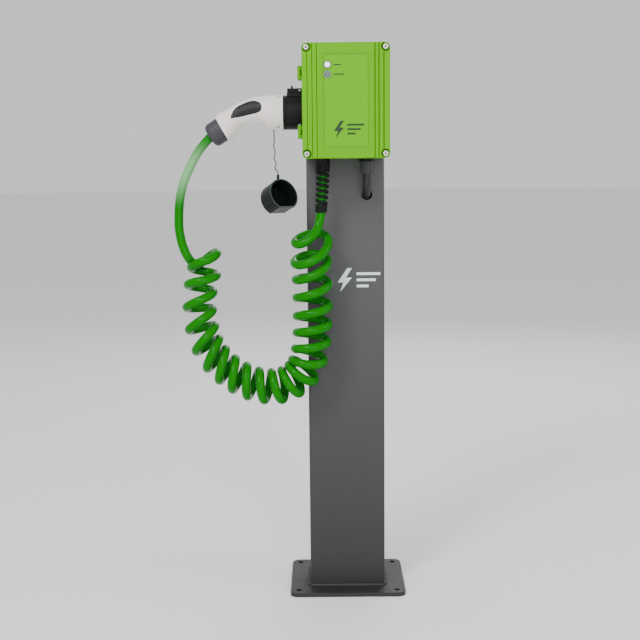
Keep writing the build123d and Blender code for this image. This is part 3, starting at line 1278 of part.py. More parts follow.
# ================================================================ equipment inside the box
WALL_OUT = COLUMN_OUT + BOX_WALL
with BuildPart() as din_rail:
    with BuildSketch(facing_right(RAIL_LEFT, -WALL_OUT, RAIL_Z)):
        with Locations((-RAIL_SHEET / 2, 0)):
            Rectangle(RAIL_SHEET, RAIL_WEB)
        with Locations((-RAIL_DEPTH / 2, 0)):
            with GridLocations(0.001, RAIL_WEB - RAIL_SHEET, 1, 2):
                Rectangle(RAIL_DEPTH, RAIL_SHEET)
        with Locations((-RAIL_DEPTH + RAIL_SHEET / 2, 0)):
            with GridLocations(0.001, (RAIL_WEB + RAIL_WIDTH) / 2 - RAIL_SHEET, 1, 2):
                Rectangle(RAIL_SHEET, (RAIL_WIDTH - RAIL_WEB) / 2 + RAIL_SHEET)
    extrude(amount=RAIL_RIGHT - RAIL_LEFT)
    with BuildSketch(front(WALL_OUT)):
        with Locations(((RAIL_LEFT + RAIL_RIGHT) / 2, RAIL_Z)):
            with GridLocations(RAIL_RIGHT - RAIL_LEFT - 9, 1, 2, 1):
                Circle(2.2)
    extrude(amount=RAIL_SHEET, mode=Mode.SUBTRACT)
din_rail.part.label = "din_rail"
export_step(din_rail.part, "parts/din_rail.step")

TOGGLE_RADIUS = 6.0
TOGGLE_WIDTH = 9.0
TOGGLE_OUT = WALL_OUT + DEVICE_NOSE - 3.0
TOGGLE_X = DEVICE_XS["residual_current_breaker"] - 7.0
BUTTON_RADIUS = 3.0
BUTTON_X = DEVICE_XS["residual_current_breaker"] + 10.0
BUTTON_TRAVEL = 1.2


def din_device(name):
    """Rail-mounted device: tall shoulders for the terminals, a nose that stands further out."""
    x = DEVICE_XS[name]
    with BuildPart() as device:
        with BuildSketch(facing_right(x - DEVICE_WIDTH / 2, -WALL_OUT, RAIL_Z)):
            with Locations((-DEVICE_BACK, 0)):
                Rectangle(
                    DEVICE_SHOULDER - DEVICE_BACK, DEVICE_HEIGHT, align=(Align.MAX, Align.CENTER)
                )
                Rectangle(
                    DEVICE_NOSE - DEVICE_BACK, DEVICE_NOSE_HEIGHT, align=(Align.MAX, Align.CENTER)
                )
            Rectangle(2 * (RAIL_DEPTH + 0.2), RAIL_WIDTH + 0.6, mode=Mode.SUBTRACT)
        extrude(amount=DEVICE_WIDTH)
        fillet(device.faces().sort_by(Axis.Y)[0].edges().filter_by(Axis.X), radius=1.5)
        # terminal screws' wells on both shoulders
        with BuildSketch(front(WALL_OUT + DEVICE_SHOULDER)):
            with Locations((x, RAIL_Z)):
                with GridLocations(TERMINAL_STEP, DEVICE_HEIGHT - 16, 3, 2):
                    Circle(3.4)
        extrude(amount=-5, mode=Mode.SUBTRACT)
        if name == "residual_current_breaker":
            with BuildSketch(facing_right(TOGGLE_X - TOGGLE_WIDTH / 2 - FIT_GAP, -TOGGLE_OUT, RAIL_Z)):
                Circle(TOGGLE_RADIUS + FIT_GAP)
            extrude(amount=TOGGLE_WIDTH + 2 * FIT_GAP, mode=Mode.SUBTRACT)
            with BuildSketch(front(WALL_OUT + DEVICE_NOSE)):
                with Locations((BUTTON_X, RAIL_Z)):
                    Circle(BUTTON_RADIUS + RUNNING_GAP)
            extrude(amount=-10, mode=Mode.SUBTRACT)
    device.part.label = name
    export_step(device.part, f"parts/{name}.step")


for device_name in DEVICE_XS:
    din_device(device_name)

with BuildPart() as breaker_toggle:
    with BuildSketch(facing_right(TOGGLE_X - TOGGLE_WIDTH / 2, -TOGGLE_OUT, RAIL_Z)):
        Circle(TOGGLE_RADIUS)
        with Locations(Location((0, 0), 150)):
            with Locations((TOGGLE_RADIUS / 2 + 5, 0)):
                Rectangle(TOGGLE_RADIUS + 10, 4)
    extrude(amount=TOGGLE_WIDTH)
breaker_toggle.part.label = "breaker_toggle"
export_step(breaker_toggle.part, "parts/breaker_toggle.step")

with BuildPart() as test_button:
    with BuildSketch(front(WALL_OUT + DEVICE_NOSE + 2)):
        with Locations((BUTTON_X, RAIL_Z)):
            Circle(BUTTON_RADIUS)
    extrude(amount=-(10 + 2 - BUTTON_TRAVEL - FIT_GAP))
test_button.part.label = "test_button"
export_step(test_button.part, "parts/test_button.step")

BOARD_OUT = WALL_OUT + STANDOFF
with BuildPart() as controller_board:
    with BuildSketch(front(BOARD_OUT)):
        with Locations((BOARD_X, BOARD_Z)):
            Rectangle(BOARD_WIDTH, BOARD_HEIGHT)
            with GridLocations(BOARD_WIDTH - 10, BOARD_HEIGHT - 10, 2, 2):
                Circle(1.3, mode=Mode.SUBTRACT)
    extrude(amount=BOARD_THICK)
controller_board.part.label = "controller_board"
export_step(controller_board.part, "parts/controller_board.step")

with BuildPart() as board_components:
    board_face = front(BOARD_OUT + BOARD_THICK)
    for offset_x, offset_z, width, height, tall in (
        (-22, 14, 20, 16, 13), (2, 14, 16, 16, 13), (-24, -12, 22, 12, 4), (0, -14, 10, 10, 2),
        (16, -23, 24, 9, 10),
    ):
        with BuildSketch(board_face):
            with Locations((BOARD_X + offset_x, BOARD_Z + offset_z)):
                Rectangle(width, height)
        extrude(amount=tall)
    with BuildSketch(board_face):
        with Locations((BOARD_X + 22, BOARD_Z + 12), (BOARD_X + 22, BOARD_Z - 3)):
            Circle(5)
    extrude(amount=12)
board_components.part.label = "board_components"
export_step(board_components.part, "parts/board_components.step")

# Screws of the rail and of the board: place, head seat, head radius and height, shank, length
RAIL_SCREW_PLACES = [(RAIL_LEFT + 4.5, RAIL_Z), (RAIL_RIGHT - 4.5, RAIL_Z)]
BOARD_SCREW_PLACES = [
    (BOARD_X + side_x * (BOARD_WIDTH / 2 - 5), BOARD_Z + side_z * (BOARD_HEIGHT / 2 - 5))
    for side_x in (-1, 1)
    for side_z in (-1, 1)
]
with BuildPart() as equipment_screws:
    for places, seat, head, head_height, shank, length in (
        (RAIL_SCREW_PLACES, WALL_OUT + RAIL_SHEET, 3.8, 2.2, 2.0, RAIL_SHEET),
        (BOARD_SCREW_PLACES, BOARD_OUT + BOARD_THICK, 2.4, 1.8, 1.2, BOARD_THICK + STANDOFF - 1),
    ):
        with BuildSketch(front(seat)):
            with Locations(*places):
                Circle(head)
        extrude(amount=head_height)
        with BuildSketch(front(seat)):
            with Locations(*places):
                Circle(shank)
        extrude(amount=-length)
equipment_screws.part.label = "equipment_screws"
export_step(equipment_screws.part, "parts/equipment_screws.step")


# ================================================================ pictograms
def pictogram(out, centre_x, centre_z, height, name):
    """Thin raised sign: a lightning bolt, and three slanted bars beside it."""
    unit = height / 10
    with BuildPart() as sign:
        with BuildSketch(front(out)):
            with Locations((centre_x, centre_z)):
                Polygon(
                    (-4 * unit, 5 * unit), (-8 * unit, -1 * unit), (-5.6 * unit, -1 * unit),
                    (-7 * unit, -5 * unit), (-2 * unit, 1 * unit), (-4.6 * unit, 1 * unit),
                    (-2 * unit, 5 * unit), align=None,
                )
            for row, bar_length in enumerate((10, 8, 5)):
                bar_z = centre_z + (2.6 - 2.6 * row) * unit
                with Locations((centre_x + bar_length * unit / 2, bar_z)):
                    Rectangle(bar_length * unit, 1.1 * unit)
        extrude(amount=0.3)
    sign.part.label = name
    export_step(sign.part, f"parts/{name}.step")


pictogram(COLUMN_OUT, 21.0, 629.0, 46.0, "column_pictogram")
pictogram(LABEL_FRONT, 2.0, 913.5, 30.0, "cover_pictogram")
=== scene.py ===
"""Looks of a vehicle charging post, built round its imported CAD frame."""
import math

import bmesh
import bpy
import numpy as np
from mathutils import Matrix, Vector


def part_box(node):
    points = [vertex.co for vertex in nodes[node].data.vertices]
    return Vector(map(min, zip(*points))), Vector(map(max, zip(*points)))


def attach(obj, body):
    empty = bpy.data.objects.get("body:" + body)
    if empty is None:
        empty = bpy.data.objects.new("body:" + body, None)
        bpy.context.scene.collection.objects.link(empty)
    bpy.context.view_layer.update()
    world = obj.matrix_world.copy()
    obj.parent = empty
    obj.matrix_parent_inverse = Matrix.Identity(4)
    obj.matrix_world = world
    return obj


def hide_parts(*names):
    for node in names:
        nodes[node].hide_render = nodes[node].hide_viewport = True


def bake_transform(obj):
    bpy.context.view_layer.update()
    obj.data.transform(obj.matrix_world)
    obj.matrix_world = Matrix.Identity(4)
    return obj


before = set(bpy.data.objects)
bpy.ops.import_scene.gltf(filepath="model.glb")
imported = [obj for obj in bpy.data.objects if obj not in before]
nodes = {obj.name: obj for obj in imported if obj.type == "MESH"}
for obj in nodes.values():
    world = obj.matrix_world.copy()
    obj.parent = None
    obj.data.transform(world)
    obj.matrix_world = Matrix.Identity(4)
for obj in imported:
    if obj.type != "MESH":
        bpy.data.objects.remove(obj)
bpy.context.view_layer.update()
scene = bpy.context.scene

# ================================================================ camera
# Position and angles of the view, in metres and degrees
EYE = Vector((-0.0401, -2.0989, 0.8454))
YAW, PITCH, ROLL = math.radians(-0.3086), math.radians(8.1816), math.radians(-0.5742)
forward = Vector((math.sin(YAW) * math.cos(PITCH), math.cos(YAW) * math.cos(PITCH), -math.sin(PITCH)))
level = Vector((math.cos(YAW), -math.sin(YAW), 0))
above = level.cross(forward)
right = level * math.cos(ROLL) + above * math.sin(ROLL)
up = above * math.cos(ROLL) - level * math.sin(ROLL)
camera_data = bpy.data.cameras.new("camera")
camera_data.lens = 59.55
camera_data.sensor_width = 36
camera_data.clip_end = 60
camera = bpy.data.objects.new("camera", camera_data)
scene.collection.objects.link(camera)
camera.matrix_world = Matrix((
    (right.x, up.x, -forward.x, EYE.x),
    (right.y, up.y, -forward.y, EYE.y),
    (right.z, up.z, -forward.z, EYE.z),
    (0, 0, 0, 1),
))
scene.camera = camera


# ================================================================ helpers
def add_object(name, mesh):
    thing = bpy.data.objects.new(name, mesh)
    scene.collection.objects.link(thing)
    return thing


def mesh_from(name, verts, faces, smooth=True):
    mesh = bpy.data.meshes.new(name)
    mesh.from_pydata([tuple(v) for v in verts], [], faces)
    mesh.validate()
    if smooth:
        mesh.polygons.foreach_set("use_smooth", [True] * len(mesh.polygons))
    mesh.update()
    return mesh


def nurbs(name, points, bevel=0.0, resolution=12, sides=8):
    """Curve with one open, third-order NURBS spline through control points in metres."""
    curve = bpy.data.curves.new(name, "CURVE")
    curve.dimensions = "3D"
    curve.resolution_u = resolution
    curve.bevel_depth = bevel
    curve.bevel_resolution = sides
    curve.use_fill_caps = True
    spline = curve.splines.new("NURBS")
    spline.points.add(len(points) - 1)
    for spot, point in zip(spline.points, points):
        spot.co = (*point, 1)
    spline.order_u = 3
    spline.use_endpoint_u = True
    thing = bpy.data.objects.new(name, curve)
    scene.collection.objects.link(thing)
    return thing


def line_of(points, resolution=24):
    """Points along the NURBS spline of a route, as Blender gives them."""
    thing = nurbs("route_line", points, 0.0, resolution)
    bpy.context.view_layer.update()
    mesh = bpy.data.meshes.new_from_object(thing)
    line = np.array([v.co for v in mesh.vertices], float)
    bpy.data.meshes.remove(mesh)
    bpy.data.objects.remove(thing)
    return line


def even(line, step):
    """The same line with its points evenly spaced, and their distances along it."""
    gaps = np.linalg.norm(np.diff(line, axis=0), axis=1)
    far = np.concatenate([[0], np.cumsum(gaps)])
    at = np.linspace(0, far[-1], max(2, int(round(far[-1] / step)) + 1))
    return np.stack([np.interp(at, far, line[:, k]) for k in range(3)], 1), at


def to_mesh(thing):
    """The curve object as a mesh object of the same name."""
    bpy.context.view_layer.update()
    name = thing.name
    mesh = bpy.data.meshes.new_from_object(thing)
    bpy.data.objects.remove(thing)
    made = add_object(name, mesh)
    mesh.name = name
    mesh.polygons.foreach_set("use_smooth", [True] * len(mesh.polygons))
    return made


def ramp(x):
    x = np.clip(x, 0, 1)
    return x * x * (3 - 2 * x)


def ring_faces(start, rings, sides):
    """Quads between successive rings of vertices, the first of which begins at start."""
    return [
        (start + i * sides + k, start + i * sides + (k + 1) % sides,
         start + (i + 1) * sides + (k + 1) % sides, start + (i + 1) * sides + k)
        for i in range(rings - 1) for k in range(sides)
    ]


def lathe(name, profile, centre, axis=(0, 0, 1), sides=64):
    """Turned solid: profile as (radius, height) pairs, about an axis through the centre."""
    axis = Vector(axis).normalized()
    turn = Vector((0, 0, 1)).rotation_difference(axis).to_matrix()
    verts = []
    for radius, height in profile:
        for k in range(sides):
            a = 2 * math.pi * k / sides
            spot = turn @ Vector((radius * math.cos(a), radius * math.sin(a), height))
            verts.append(spot + Vector(centre))
    return mesh_from(name, verts, ring_faces(0, len(profile), sides))


# ================================================================ the charging cable
MM = 0.001
# The cable's route: the stretch below the gland, the middle of the curls, and the lead to the plug
CABLE_ROUTE = [
    (-43.5, -95, 840), (-43.8, -95, 812), (-46, -95.5, 780), (-48, -98, 748),
    (-60, -99, 722), (-68, -97, 692), (-65, -95, 634), (-64.5, -95, 574), (-66, -95, 518),
    (-78, -95, 462), (-114, -95, 431), (-157, -95, 427), (-203, -95, 442), (-243, -95, 472),
    (-271, -95, 514), (-281, -95, 566), (-279, -95, 618), (-269, -95, 656), (-266, -95, 682),
    (-298, -95, 699), (-315.5, -95, 714), (-315.5, -95, 772), (-307, -95, 816), (-291, -95, 851),
    (-273, -95, 883), (-251.8, -95, 904.2),
]
# Where each turn passes the inner side of the loop, in mm along the route, and its lean sideways
TURNS = [133, 164, 202, 240, 279, 310, 344, 376, 402, 428, 456, 485, 514, 543, 571, 601, 635, 673,
         712, 750, 780]
LEANS = [15, 11, 5, 2.5, 0, 2, 3, 1, -2, -1, 1.5, 3.5, 5.5, 8, 11, 10, 8.5, 7, 6, 5, 5]
CABLE_R = 8.5
HELIX_STEP = 8.0   # between control points along the curls


def curl(line, at):
    """The route with its turns wound round it. All in mm."""
    tangent = np.gradient(line, axis=0)
    tangent /= np.linalg.norm(tangent, axis=1)[:, None]
    side = np.cross(tangent, np.array([0, 1.0, 0]))
    side /= np.linalg.norm(side, axis=1)[:, None]
    front = np.cross(tangent, side)
    front = np.where(front[:, 1:2] > 0, -front, front)
    places = [98] + TURNS + [797, 835]
    turned = [40] + [180 + 360 * k for k in range(len(TURNS))] + [180 + 360 * 20 + 180, 180 + 360 * 20 + 230]
    angle = np.interp(at, places, turned)
    weight = np.exp(-0.5 * (np.arange(-12, 13) / 5.0) ** 2)
    angle = np.radians(np.convolve(np.pad(angle, 12, mode="edge"), weight / weight.sum(), "valid"))
    radius = np.interp(at, [98, 130, 165, 300, 420, 520, 600, 700, 780, 800],
                       [0, 31, 31.5, 30.3, 28.4, 27.2, 25.6, 25.0, 25.6, 25])
    radius = radius * ramp((at - 86) / 38) * ramp((846 - at) / 52)
    lean = np.interp(at, TURNS + [800, 842], LEANS + [5, 0]) * ramp((at - 88) / 40)
    nod = np.interp(at, [100, 150, 190, 260, 740, 785, 820], [22, 16, 6, 0, 0, 9, 8]) * ramp((at - 96) / 34)
    nod = nod * ramp((840 - at) / 30)
    return (line + (radius * np.cos(angle))[:, None] * side + (radius * np.sin(angle))[:, None] * front
            - (lean * np.cos(angle))[:, None] * tangent + (nod * np.sin(angle))[:, None] * tangent)


axis_line, axis_at = even(line_of([Vector(p) for p in CABLE_ROUTE]), 1.0)
cable_line = curl(axis_line, axis_at)
cable_points, _ = even(cable_line, HELIX_STEP)
cable_curve = nurbs("charging_cable", [Vector(p) * MM for p in cable_points], CABLE_R * MM, 3, 5)
cable_path = line_of([Vector(p) * MM for p in cable_points], 4)
cable = to_mesh(cable_curve)
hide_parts("charging_cable_tail", "charging_cable_coil", "charging_cable_lead")
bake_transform(cable)

# ================================================================ the dust cap's cord
CAP_CORD_ROUTE = [
    (-133.5, -95.0, 913.3), (-132.6, -95.2, 902.9), (-133.4, -94.6, 892.0), (-134.8, -95.4, 884.5),
    (-130.6, -94.8, 875.5), (-135.1, -95.6, 863.8), (-128.7, -95.0, 853.1), (-133.9, -94.6, 845.0),
    (-127.0, -93.0, 840.4), (-127.0, -93.0, 832.5),
]
cap_cord = to_mesh(nurbs("dust_cap_cord", [Vector(p) * MM for p in CAP_CORD_ROUTE], 1.25 * MM, 10, 3))
cap_line = line_of([Vector(p) * MM for p in CAP_CORD_ROUTE])
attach(cap_cord, "dust_cap")
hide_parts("cap_cord")


# ================================================================ materials
def material(name, color, rough=0.5, metal=0.0, coat=0.0, coat_rough=0.1, spec=0.5, shade=0.12,
             shade_scale=14.0, grain=0.15, grain_scale=900.0, rough_spread=0.08, stretch=(1, 1, 1),
             worn=None, worn_amount=0.0, emission=None, emission_strength=0.0, dust=0.0):
    """Moulded, painted or metal surface: cloudy colour, uneven gloss, fine grain and faint wear."""
    made = bpy.data.materials.new(name)
    made.use_nodes = True
    tree = made.node_tree
    tree.nodes.clear()
    out = tree.nodes.new("ShaderNodeOutputMaterial")
    shader = tree.nodes.new("ShaderNodeBsdfPrincipled")
    tree.links.new(shader.outputs[0], out.inputs[0])
    shader.inputs["Metallic"].default_value = metal
    shader.inputs["Specular IOR Level"].default_value = spec
    shader.inputs["Coat Weight"].default_value = coat
    shader.inputs["Coat Roughness"].default_value = coat_rough
    if emission:
        shader.inputs["Emission Color"].default_value = (*emission, 1)
        shader.inputs["Emission Strength"].default_value = emission_strength
    where = tree.nodes.new("ShaderNodeTexCoord")
    place = tree.nodes.new("ShaderNodeMapping")
    place.inputs["Scale"].default_value = stretch
    tree.links.new(where.outputs["Object"], place.inputs["Vector"])

    def noise(scale, detail, roughness=0.5):
        node = tree.nodes.new("ShaderNodeTexNoise")
        node.inputs["Scale"].default_value = scale
        node.inputs["Detail"].default_value = detail
        node.inputs["Roughness"].default_value = roughness
        tree.links.new(place.outputs[0], node.inputs["Vector"])
        return node

    cloud = noise(shade_scale, 6, 0.6)
    mixed = tree.nodes.new("ShaderNodeMix")
    mixed.data_type = "RGBA"
    mixed.inputs[6].default_value = (*[c * (1 - shade) for c in color], 1)
    mixed.inputs[7].default_value = (*[min(1, c * (1 + shade)) for c in color], 1)
    tree.links.new(cloud.outputs["Fac"], mixed.inputs[0])
    result = mixed.outputs[2]
    if worn is not None:
        patch = noise(shade_scale * 9, 8, 0.75)
        edge = tree.nodes.new("ShaderNodeMapRange")
        edge.inputs["From Min"].default_value = 0.62
        edge.inputs["From Max"].default_value = 0.78
        edge.inputs["To Max"].default_value = worn_amount
        tree.links.new(patch.outputs["Fac"], edge.inputs["Value"])
        over = tree.nodes.new("ShaderNodeMix")
        over.data_type = "RGBA"
        over.inputs[7].default_value = (*worn, 1)
        tree.links.new(edge.outputs[0], over.inputs[0])
        tree.links.new(result, over.inputs[6])
        result = over.outputs[2]
    tree.links.new(result, shader.inputs["Base Color"])
    gloss = noise(shade_scale * 3, 5)
    spread = tree.nodes.new("ShaderNodeMapRange")
    spread.inputs["To Min"].default_value = max(0.02, rough - rough_spread)
    spread.inputs["To Max"].default_value = min(1, rough + rough_spread)
    tree.links.new(gloss.outputs["Fac"], spread.inputs["Value"])
    tree.links.new(spread.outputs[0], shader.inputs["Roughness"])
    fine = noise(grain_scale, 3)
    bump = tree.nodes.new("ShaderNodeBump")
    bump.inputs["Strength"].default_value = grain
    bump.inputs["Distance"].default_value = 0.0004
    tree.links.new(fine.outputs["Fac"], bump.inputs["Height"])
    tree.links.new(bump.outputs[0], shader.inputs["Normal"])
    made["shader"] = shader.name
    return made


def painted_crevice_shade(made, painted_shade_color, distance, low=0.45, high=0.95):
    """Painted shade: darkens the base colour in seams, grooves and corners, where the surface sees little of the
    light.
    """
    tree = made.node_tree
    shader = tree.nodes[made["shader"]]
    source = shader.inputs["Base Color"].links[0].from_socket
    hidden = tree.nodes.new("ShaderNodeAmbientOcclusion")
    hidden.samples = 6
    hidden.only_local = False
    hidden.inputs["Distance"].default_value = distance
    share = tree.nodes.new("ShaderNodeMapRange")
    share.inputs["From Min"].default_value = low
    share.inputs["From Max"].default_value = high
    tree.links.new(hidden.outputs["AO"], share.inputs["Value"])
    over = tree.nodes.new("ShaderNodeMix")
    over.data_type = "RGBA"
    over.inputs[6].default_value = (*painted_shade_color, 1)
    tree.links.new(share.outputs[0], over.inputs[0])
    tree.links.new(source, over.inputs[7])
    tree.links.new(over.outputs[2], shader.inputs["Base Color"])


def painted_groove_shade(made, groove_x, pitch, half_groove, painted_shade_color):
    """Painted shade: darkens evenly spaced grooves that run across the X axis."""
    tree = made.node_tree
    shader = tree.nodes[made["shader"]]
    source = shader.inputs["Base Color"].links[0].from_socket
    where = tree.nodes.new("ShaderNodeTexCoord")
    split = tree.nodes.new("ShaderNodeSeparateXYZ")
    tree.links.new(where.outputs["Object"], split.inputs[0])
    shift = tree.nodes.new("ShaderNodeMath")
    shift.operation = "SUBTRACT"
    shift.inputs[1].default_value = groove_x
    tree.links.new(split.outputs["X"], shift.inputs[0])
    fold = tree.nodes.new("ShaderNodeMath")
    fold.operation = "PINGPONG"
    fold.inputs[1].default_value = pitch / 2
    tree.links.new(shift.outputs[0], fold.inputs[0])
    share = tree.nodes.new("ShaderNodeMapRange")
    share.inputs["From Min"].default_value = half_groove * 0.75
    share.inputs["From Max"].default_value = half_groove * 1.2
    tree.links.new(fold.outputs[0], share.inputs["Value"])
    over = tree.nodes.new("ShaderNodeMix")
    over.data_type = "RGBA"
    over.inputs[6].default_value = (*painted_shade_color, 1)
    tree.links.new(share.outputs[0], over.inputs[0])
    tree.links.new(source, over.inputs[7])
    tree.links.new(over.outputs[2], shader.inputs["Base Color"])


def srgb(r, g, b):
    return tuple(((c / 255) / 12.92) if c <= 10 else ((c / 255 + 0.055) / 1.055) ** 2.4 for c in (r, g, b))


def shade_by_height(made, low_z, high_z, low_factor, high_factor):
    """Painted light and shade: multiplies the base colour by a factor that changes with height."""
    tree = made.node_tree
    shader = tree.nodes[made["shader"]]
    source = shader.inputs["Base Color"].links[0].from_socket
    where = tree.nodes.new("ShaderNodeTexCoord")
    split = tree.nodes.new("ShaderNodeSeparateXYZ")
    tree.links.new(where.outputs["Object"], split.inputs[0])
    scale = tree.nodes.new("ShaderNodeMapRange")
    scale.inputs["From Min"].default_value = low_z
    scale.inputs["From Max"].default_value = high_z
    scale.inputs["To Min"].default_value = low_factor
    scale.inputs["To Max"].default_value = high_factor
    tree.links.new(split.outputs["Z"], scale.inputs["Value"])
    times = tree.nodes.new("ShaderNodeVectorMath")
    times.operation = "SCALE"
    tree.links.new(source, times.inputs[0])
    tree.links.new(scale.outputs[0], times.inputs["Scale"])
    tree.links.new(times.outputs[0], shader.inputs["Base Color"])


lime = material("lime_moulding", (0.108, 0.385, 0.0001), 0.5, spec=0.06, shade=0.08,
                shade_scale=9, grain=0.5, grain_scale=1300, worn=(0.14, 0.44, 0.001), worn_amount=0.2)
lime_film = material("lime_film", (0.113, 0.40, 0.0001), 0.42, spec=0.07, shade=0.05,
                     shade_scale=12, grain=0.2, grain_scale=2200, worn=(0.14, 0.44, 0.001), worn_amount=0.12)
# Painted shade in the lime moulding's seams, grooves and corners
painted_crevice_shade(lime, (0.02, 0.13, 0.0002), 0.006, 0.35, 0.92)
column_paint = material("column_powder_coat", (0.083, 0.083, 0.086), 0.5, spec=0.3, shade=0.06, shade_scale=5,
                        grain=0.7, grain_scale=1100, rough_spread=0.05, worn=(0.12, 0.12, 0.12),
                        worn_amount=0.1)
# Painted shade: the column darker towards its foot, lighter at its top
shade_by_height(column_paint, 0.0, 1.04, 0.30, 1.05)
plate_paint = material("plate_powder_coat", (0.022, 0.023, 0.024), 0.5, spec=0.3, shade=0.15, shade_scale=16,
                       grain=0.8, grain_scale=1100, worn=(0.1, 0.1, 0.1), worn_amount=0.25)
weld_paint = material("weld_bead_paint", (0.022, 0.022, 0.023), 0.45, spec=0.35, shade=0.2, shade_scale=60,
                      grain=0.8, grain_scale=700)
black = material("black_moulding", (0.0055, 0.0055, 0.006), 0.42, spec=0.14, shade=0.2, shade_scale=20,
                 grain=0.5, grain_scale=1500, worn=(0.03, 0.03, 0.03), worn_amount=0.15)
cap_black = material("cap_moulding", (0.006, 0.009, 0.008), 0.36, spec=0.16, shade=0.2, shade_scale=26,
                     grain=0.4, grain_scale=1500, worn=(0.04, 0.05, 0.048), worn_amount=0.2)
dark_grey = material("nut_moulding", (0.042, 0.042, 0.05), 0.5, spec=0.3, shade=0.15, shade_scale=24,
                     grain=0.5, grain_scale=1500, worn=(0.1, 0.1, 0.11), worn_amount=0.2)
gland_grey = material("gland_moulding", (0.02, 0.021, 0.022), 0.4, spec=0.5, shade=0.15, shade_scale=24,
                      grain=0.4, grain_scale=1500, worn=(0.12, 0.12, 0.12), worn_amount=0.25)
rubber = material("black_rubber", (0.0045, 0.0045, 0.005), 0.5, spec=0.14, shade=0.2, shade_scale=30,
                  grain=0.6, grain_scale=1700)
grip_rubber = material("grip_rubber", (0.012, 0.0145, 0.014), 0.4, spec=0.3, shade=0.2, shade_scale=30,
                       grain=0.8, grain_scale=1500)
shell = material("warm_white_moulding", (0.80, 0.735, 0.70), 0.44, spec=0.35, shade=0.04,
                 shade_scale=14, grain=0.35, grain_scale=1600, worn=(0.6, 0.54, 0.51), worn_amount=0.12)
zinc = material("zinc_plated_steel", (0.50, 0.50, 0.48), 0.34, metal=1.0, shade=0.16, shade_scale=90,
                grain=0.4, grain_scale=1800)
chrome = material("chrome_bezel", (0.17, 0.175, 0.185), 0.24, metal=1.0, shade=0.06, shade_scale=60,
                  grain=0.06, grain_scale=1800, rough_spread=0.04)
# Painted shade in the grips' seams and along their rib grooves
painted_crevice_shade(grip_rubber, (0.0004, 0.0005, 0.0005), 0.004, 0.5, 0.97)
GROOVE_X, RIB_PITCH, HALF_GROOVE = -0.17925, 0.0051, 0.0011
painted_groove_shade(grip_rubber, GROOVE_X, RIB_PITCH, HALF_GROOVE, (0.0006, 0.0007, 0.0007))
# Painted shade in the shell's seams and hollows
painted_crevice_shade(shell, (0.34, 0.26, 0.23), 0.010, 0.2, 0.9)
screw_dark = material("shell_screws", (0.03, 0.029, 0.027), 0.4, metal=0.5, shade=0.15, shade_scale=90)
# Painted shade in the screws' sockets and round the lamp bezels
painted_crevice_shade(zinc, (0.02, 0.02, 0.02), 0.004, 0.4, 0.95)
painted_crevice_shade(chrome, (0.03, 0.035, 0.04), 0.006, 0.45, 0.95)
brass = material("plated_pins", srgb(214, 204, 170), 0.3, metal=1.0, shade=0.08, shade_scale=60)
lit_lens = material("lit_lens", (0.75, 0.78, 0.9), 0.18, coat=0.6, coat_rough=0.05, shade=0.1,
                    shade_scale=200, grain=0.1, grain_scale=1400, emission=(0.85, 0.88, 1.0),
                    emission_strength=1.1)
green_lens = material("green_lens", (0.003, 0.07, 0.025), 0.12, coat=0.5, coat_rough=0.05, spec=0.5,
                      shade=0.4, shade_scale=260, grain=0.1, grain_scale=1400)
print_dark = material("dark_print", (0.006, 0.03, 0.004), 0.4, spec=0.3, shade=0.15, shade_scale=90, grain=0.1)
print_pale = material("pale_print", (0.72, 0.84, 0.76), 0.45, spec=0.3, shade=0.08, shade_scale=60, grain=0.2)
cord_grey = material("cord_braid", (0.13, 0.12, 0.10), 0.6, shade=0.4, shade_scale=240, grain=0.9,
                     grain_scale=1600, stretch=(1, 1, 0.4))
sheath_black = material("supply_sheath", (0.014, 0.014, 0.015), 0.5, spec=0.35, shade=0.16, shade_scale=60,
                        grain=0.5, grain_scale=900, stretch=(1, 1, 0.2))
device_grey = material("device_moulding", (0.58, 0.59, 0.57), 0.5, shade=0.05, shade_scale=30, grain=0.4,
                       grain_scale=1700)
blue = material("toggle_moulding", (0.012, 0.045, 0.25), 0.38, shade=0.12, shade_scale=60, grain=0.2)
yellow = material("button_moulding", (0.68, 0.42, 0.012), 0.38, shade=0.1, shade_scale=60, grain=0.2)
chip_black = material("component_bodies", (0.013, 0.013, 0.014), 0.4, shade=0.3, shade_scale=120, grain=0.4)
steel = material("pressed_steel", (0.3, 0.3, 0.3), 0.36, metal=1.0, shade=0.12, shade_scale=60)

# Green jacket: glossy, with a painted highlight, a paler stretch where the lead turns towards the plug
sheath = material("green_jacket", (0.0002, 0.165, 0.0002), 0.24, spec=0.11, shade=0.16,
                  shade_scale=26, grain=0.25, grain_scale=700, worn=(0.01, 0.24, 0.01), worn_amount=0.15)


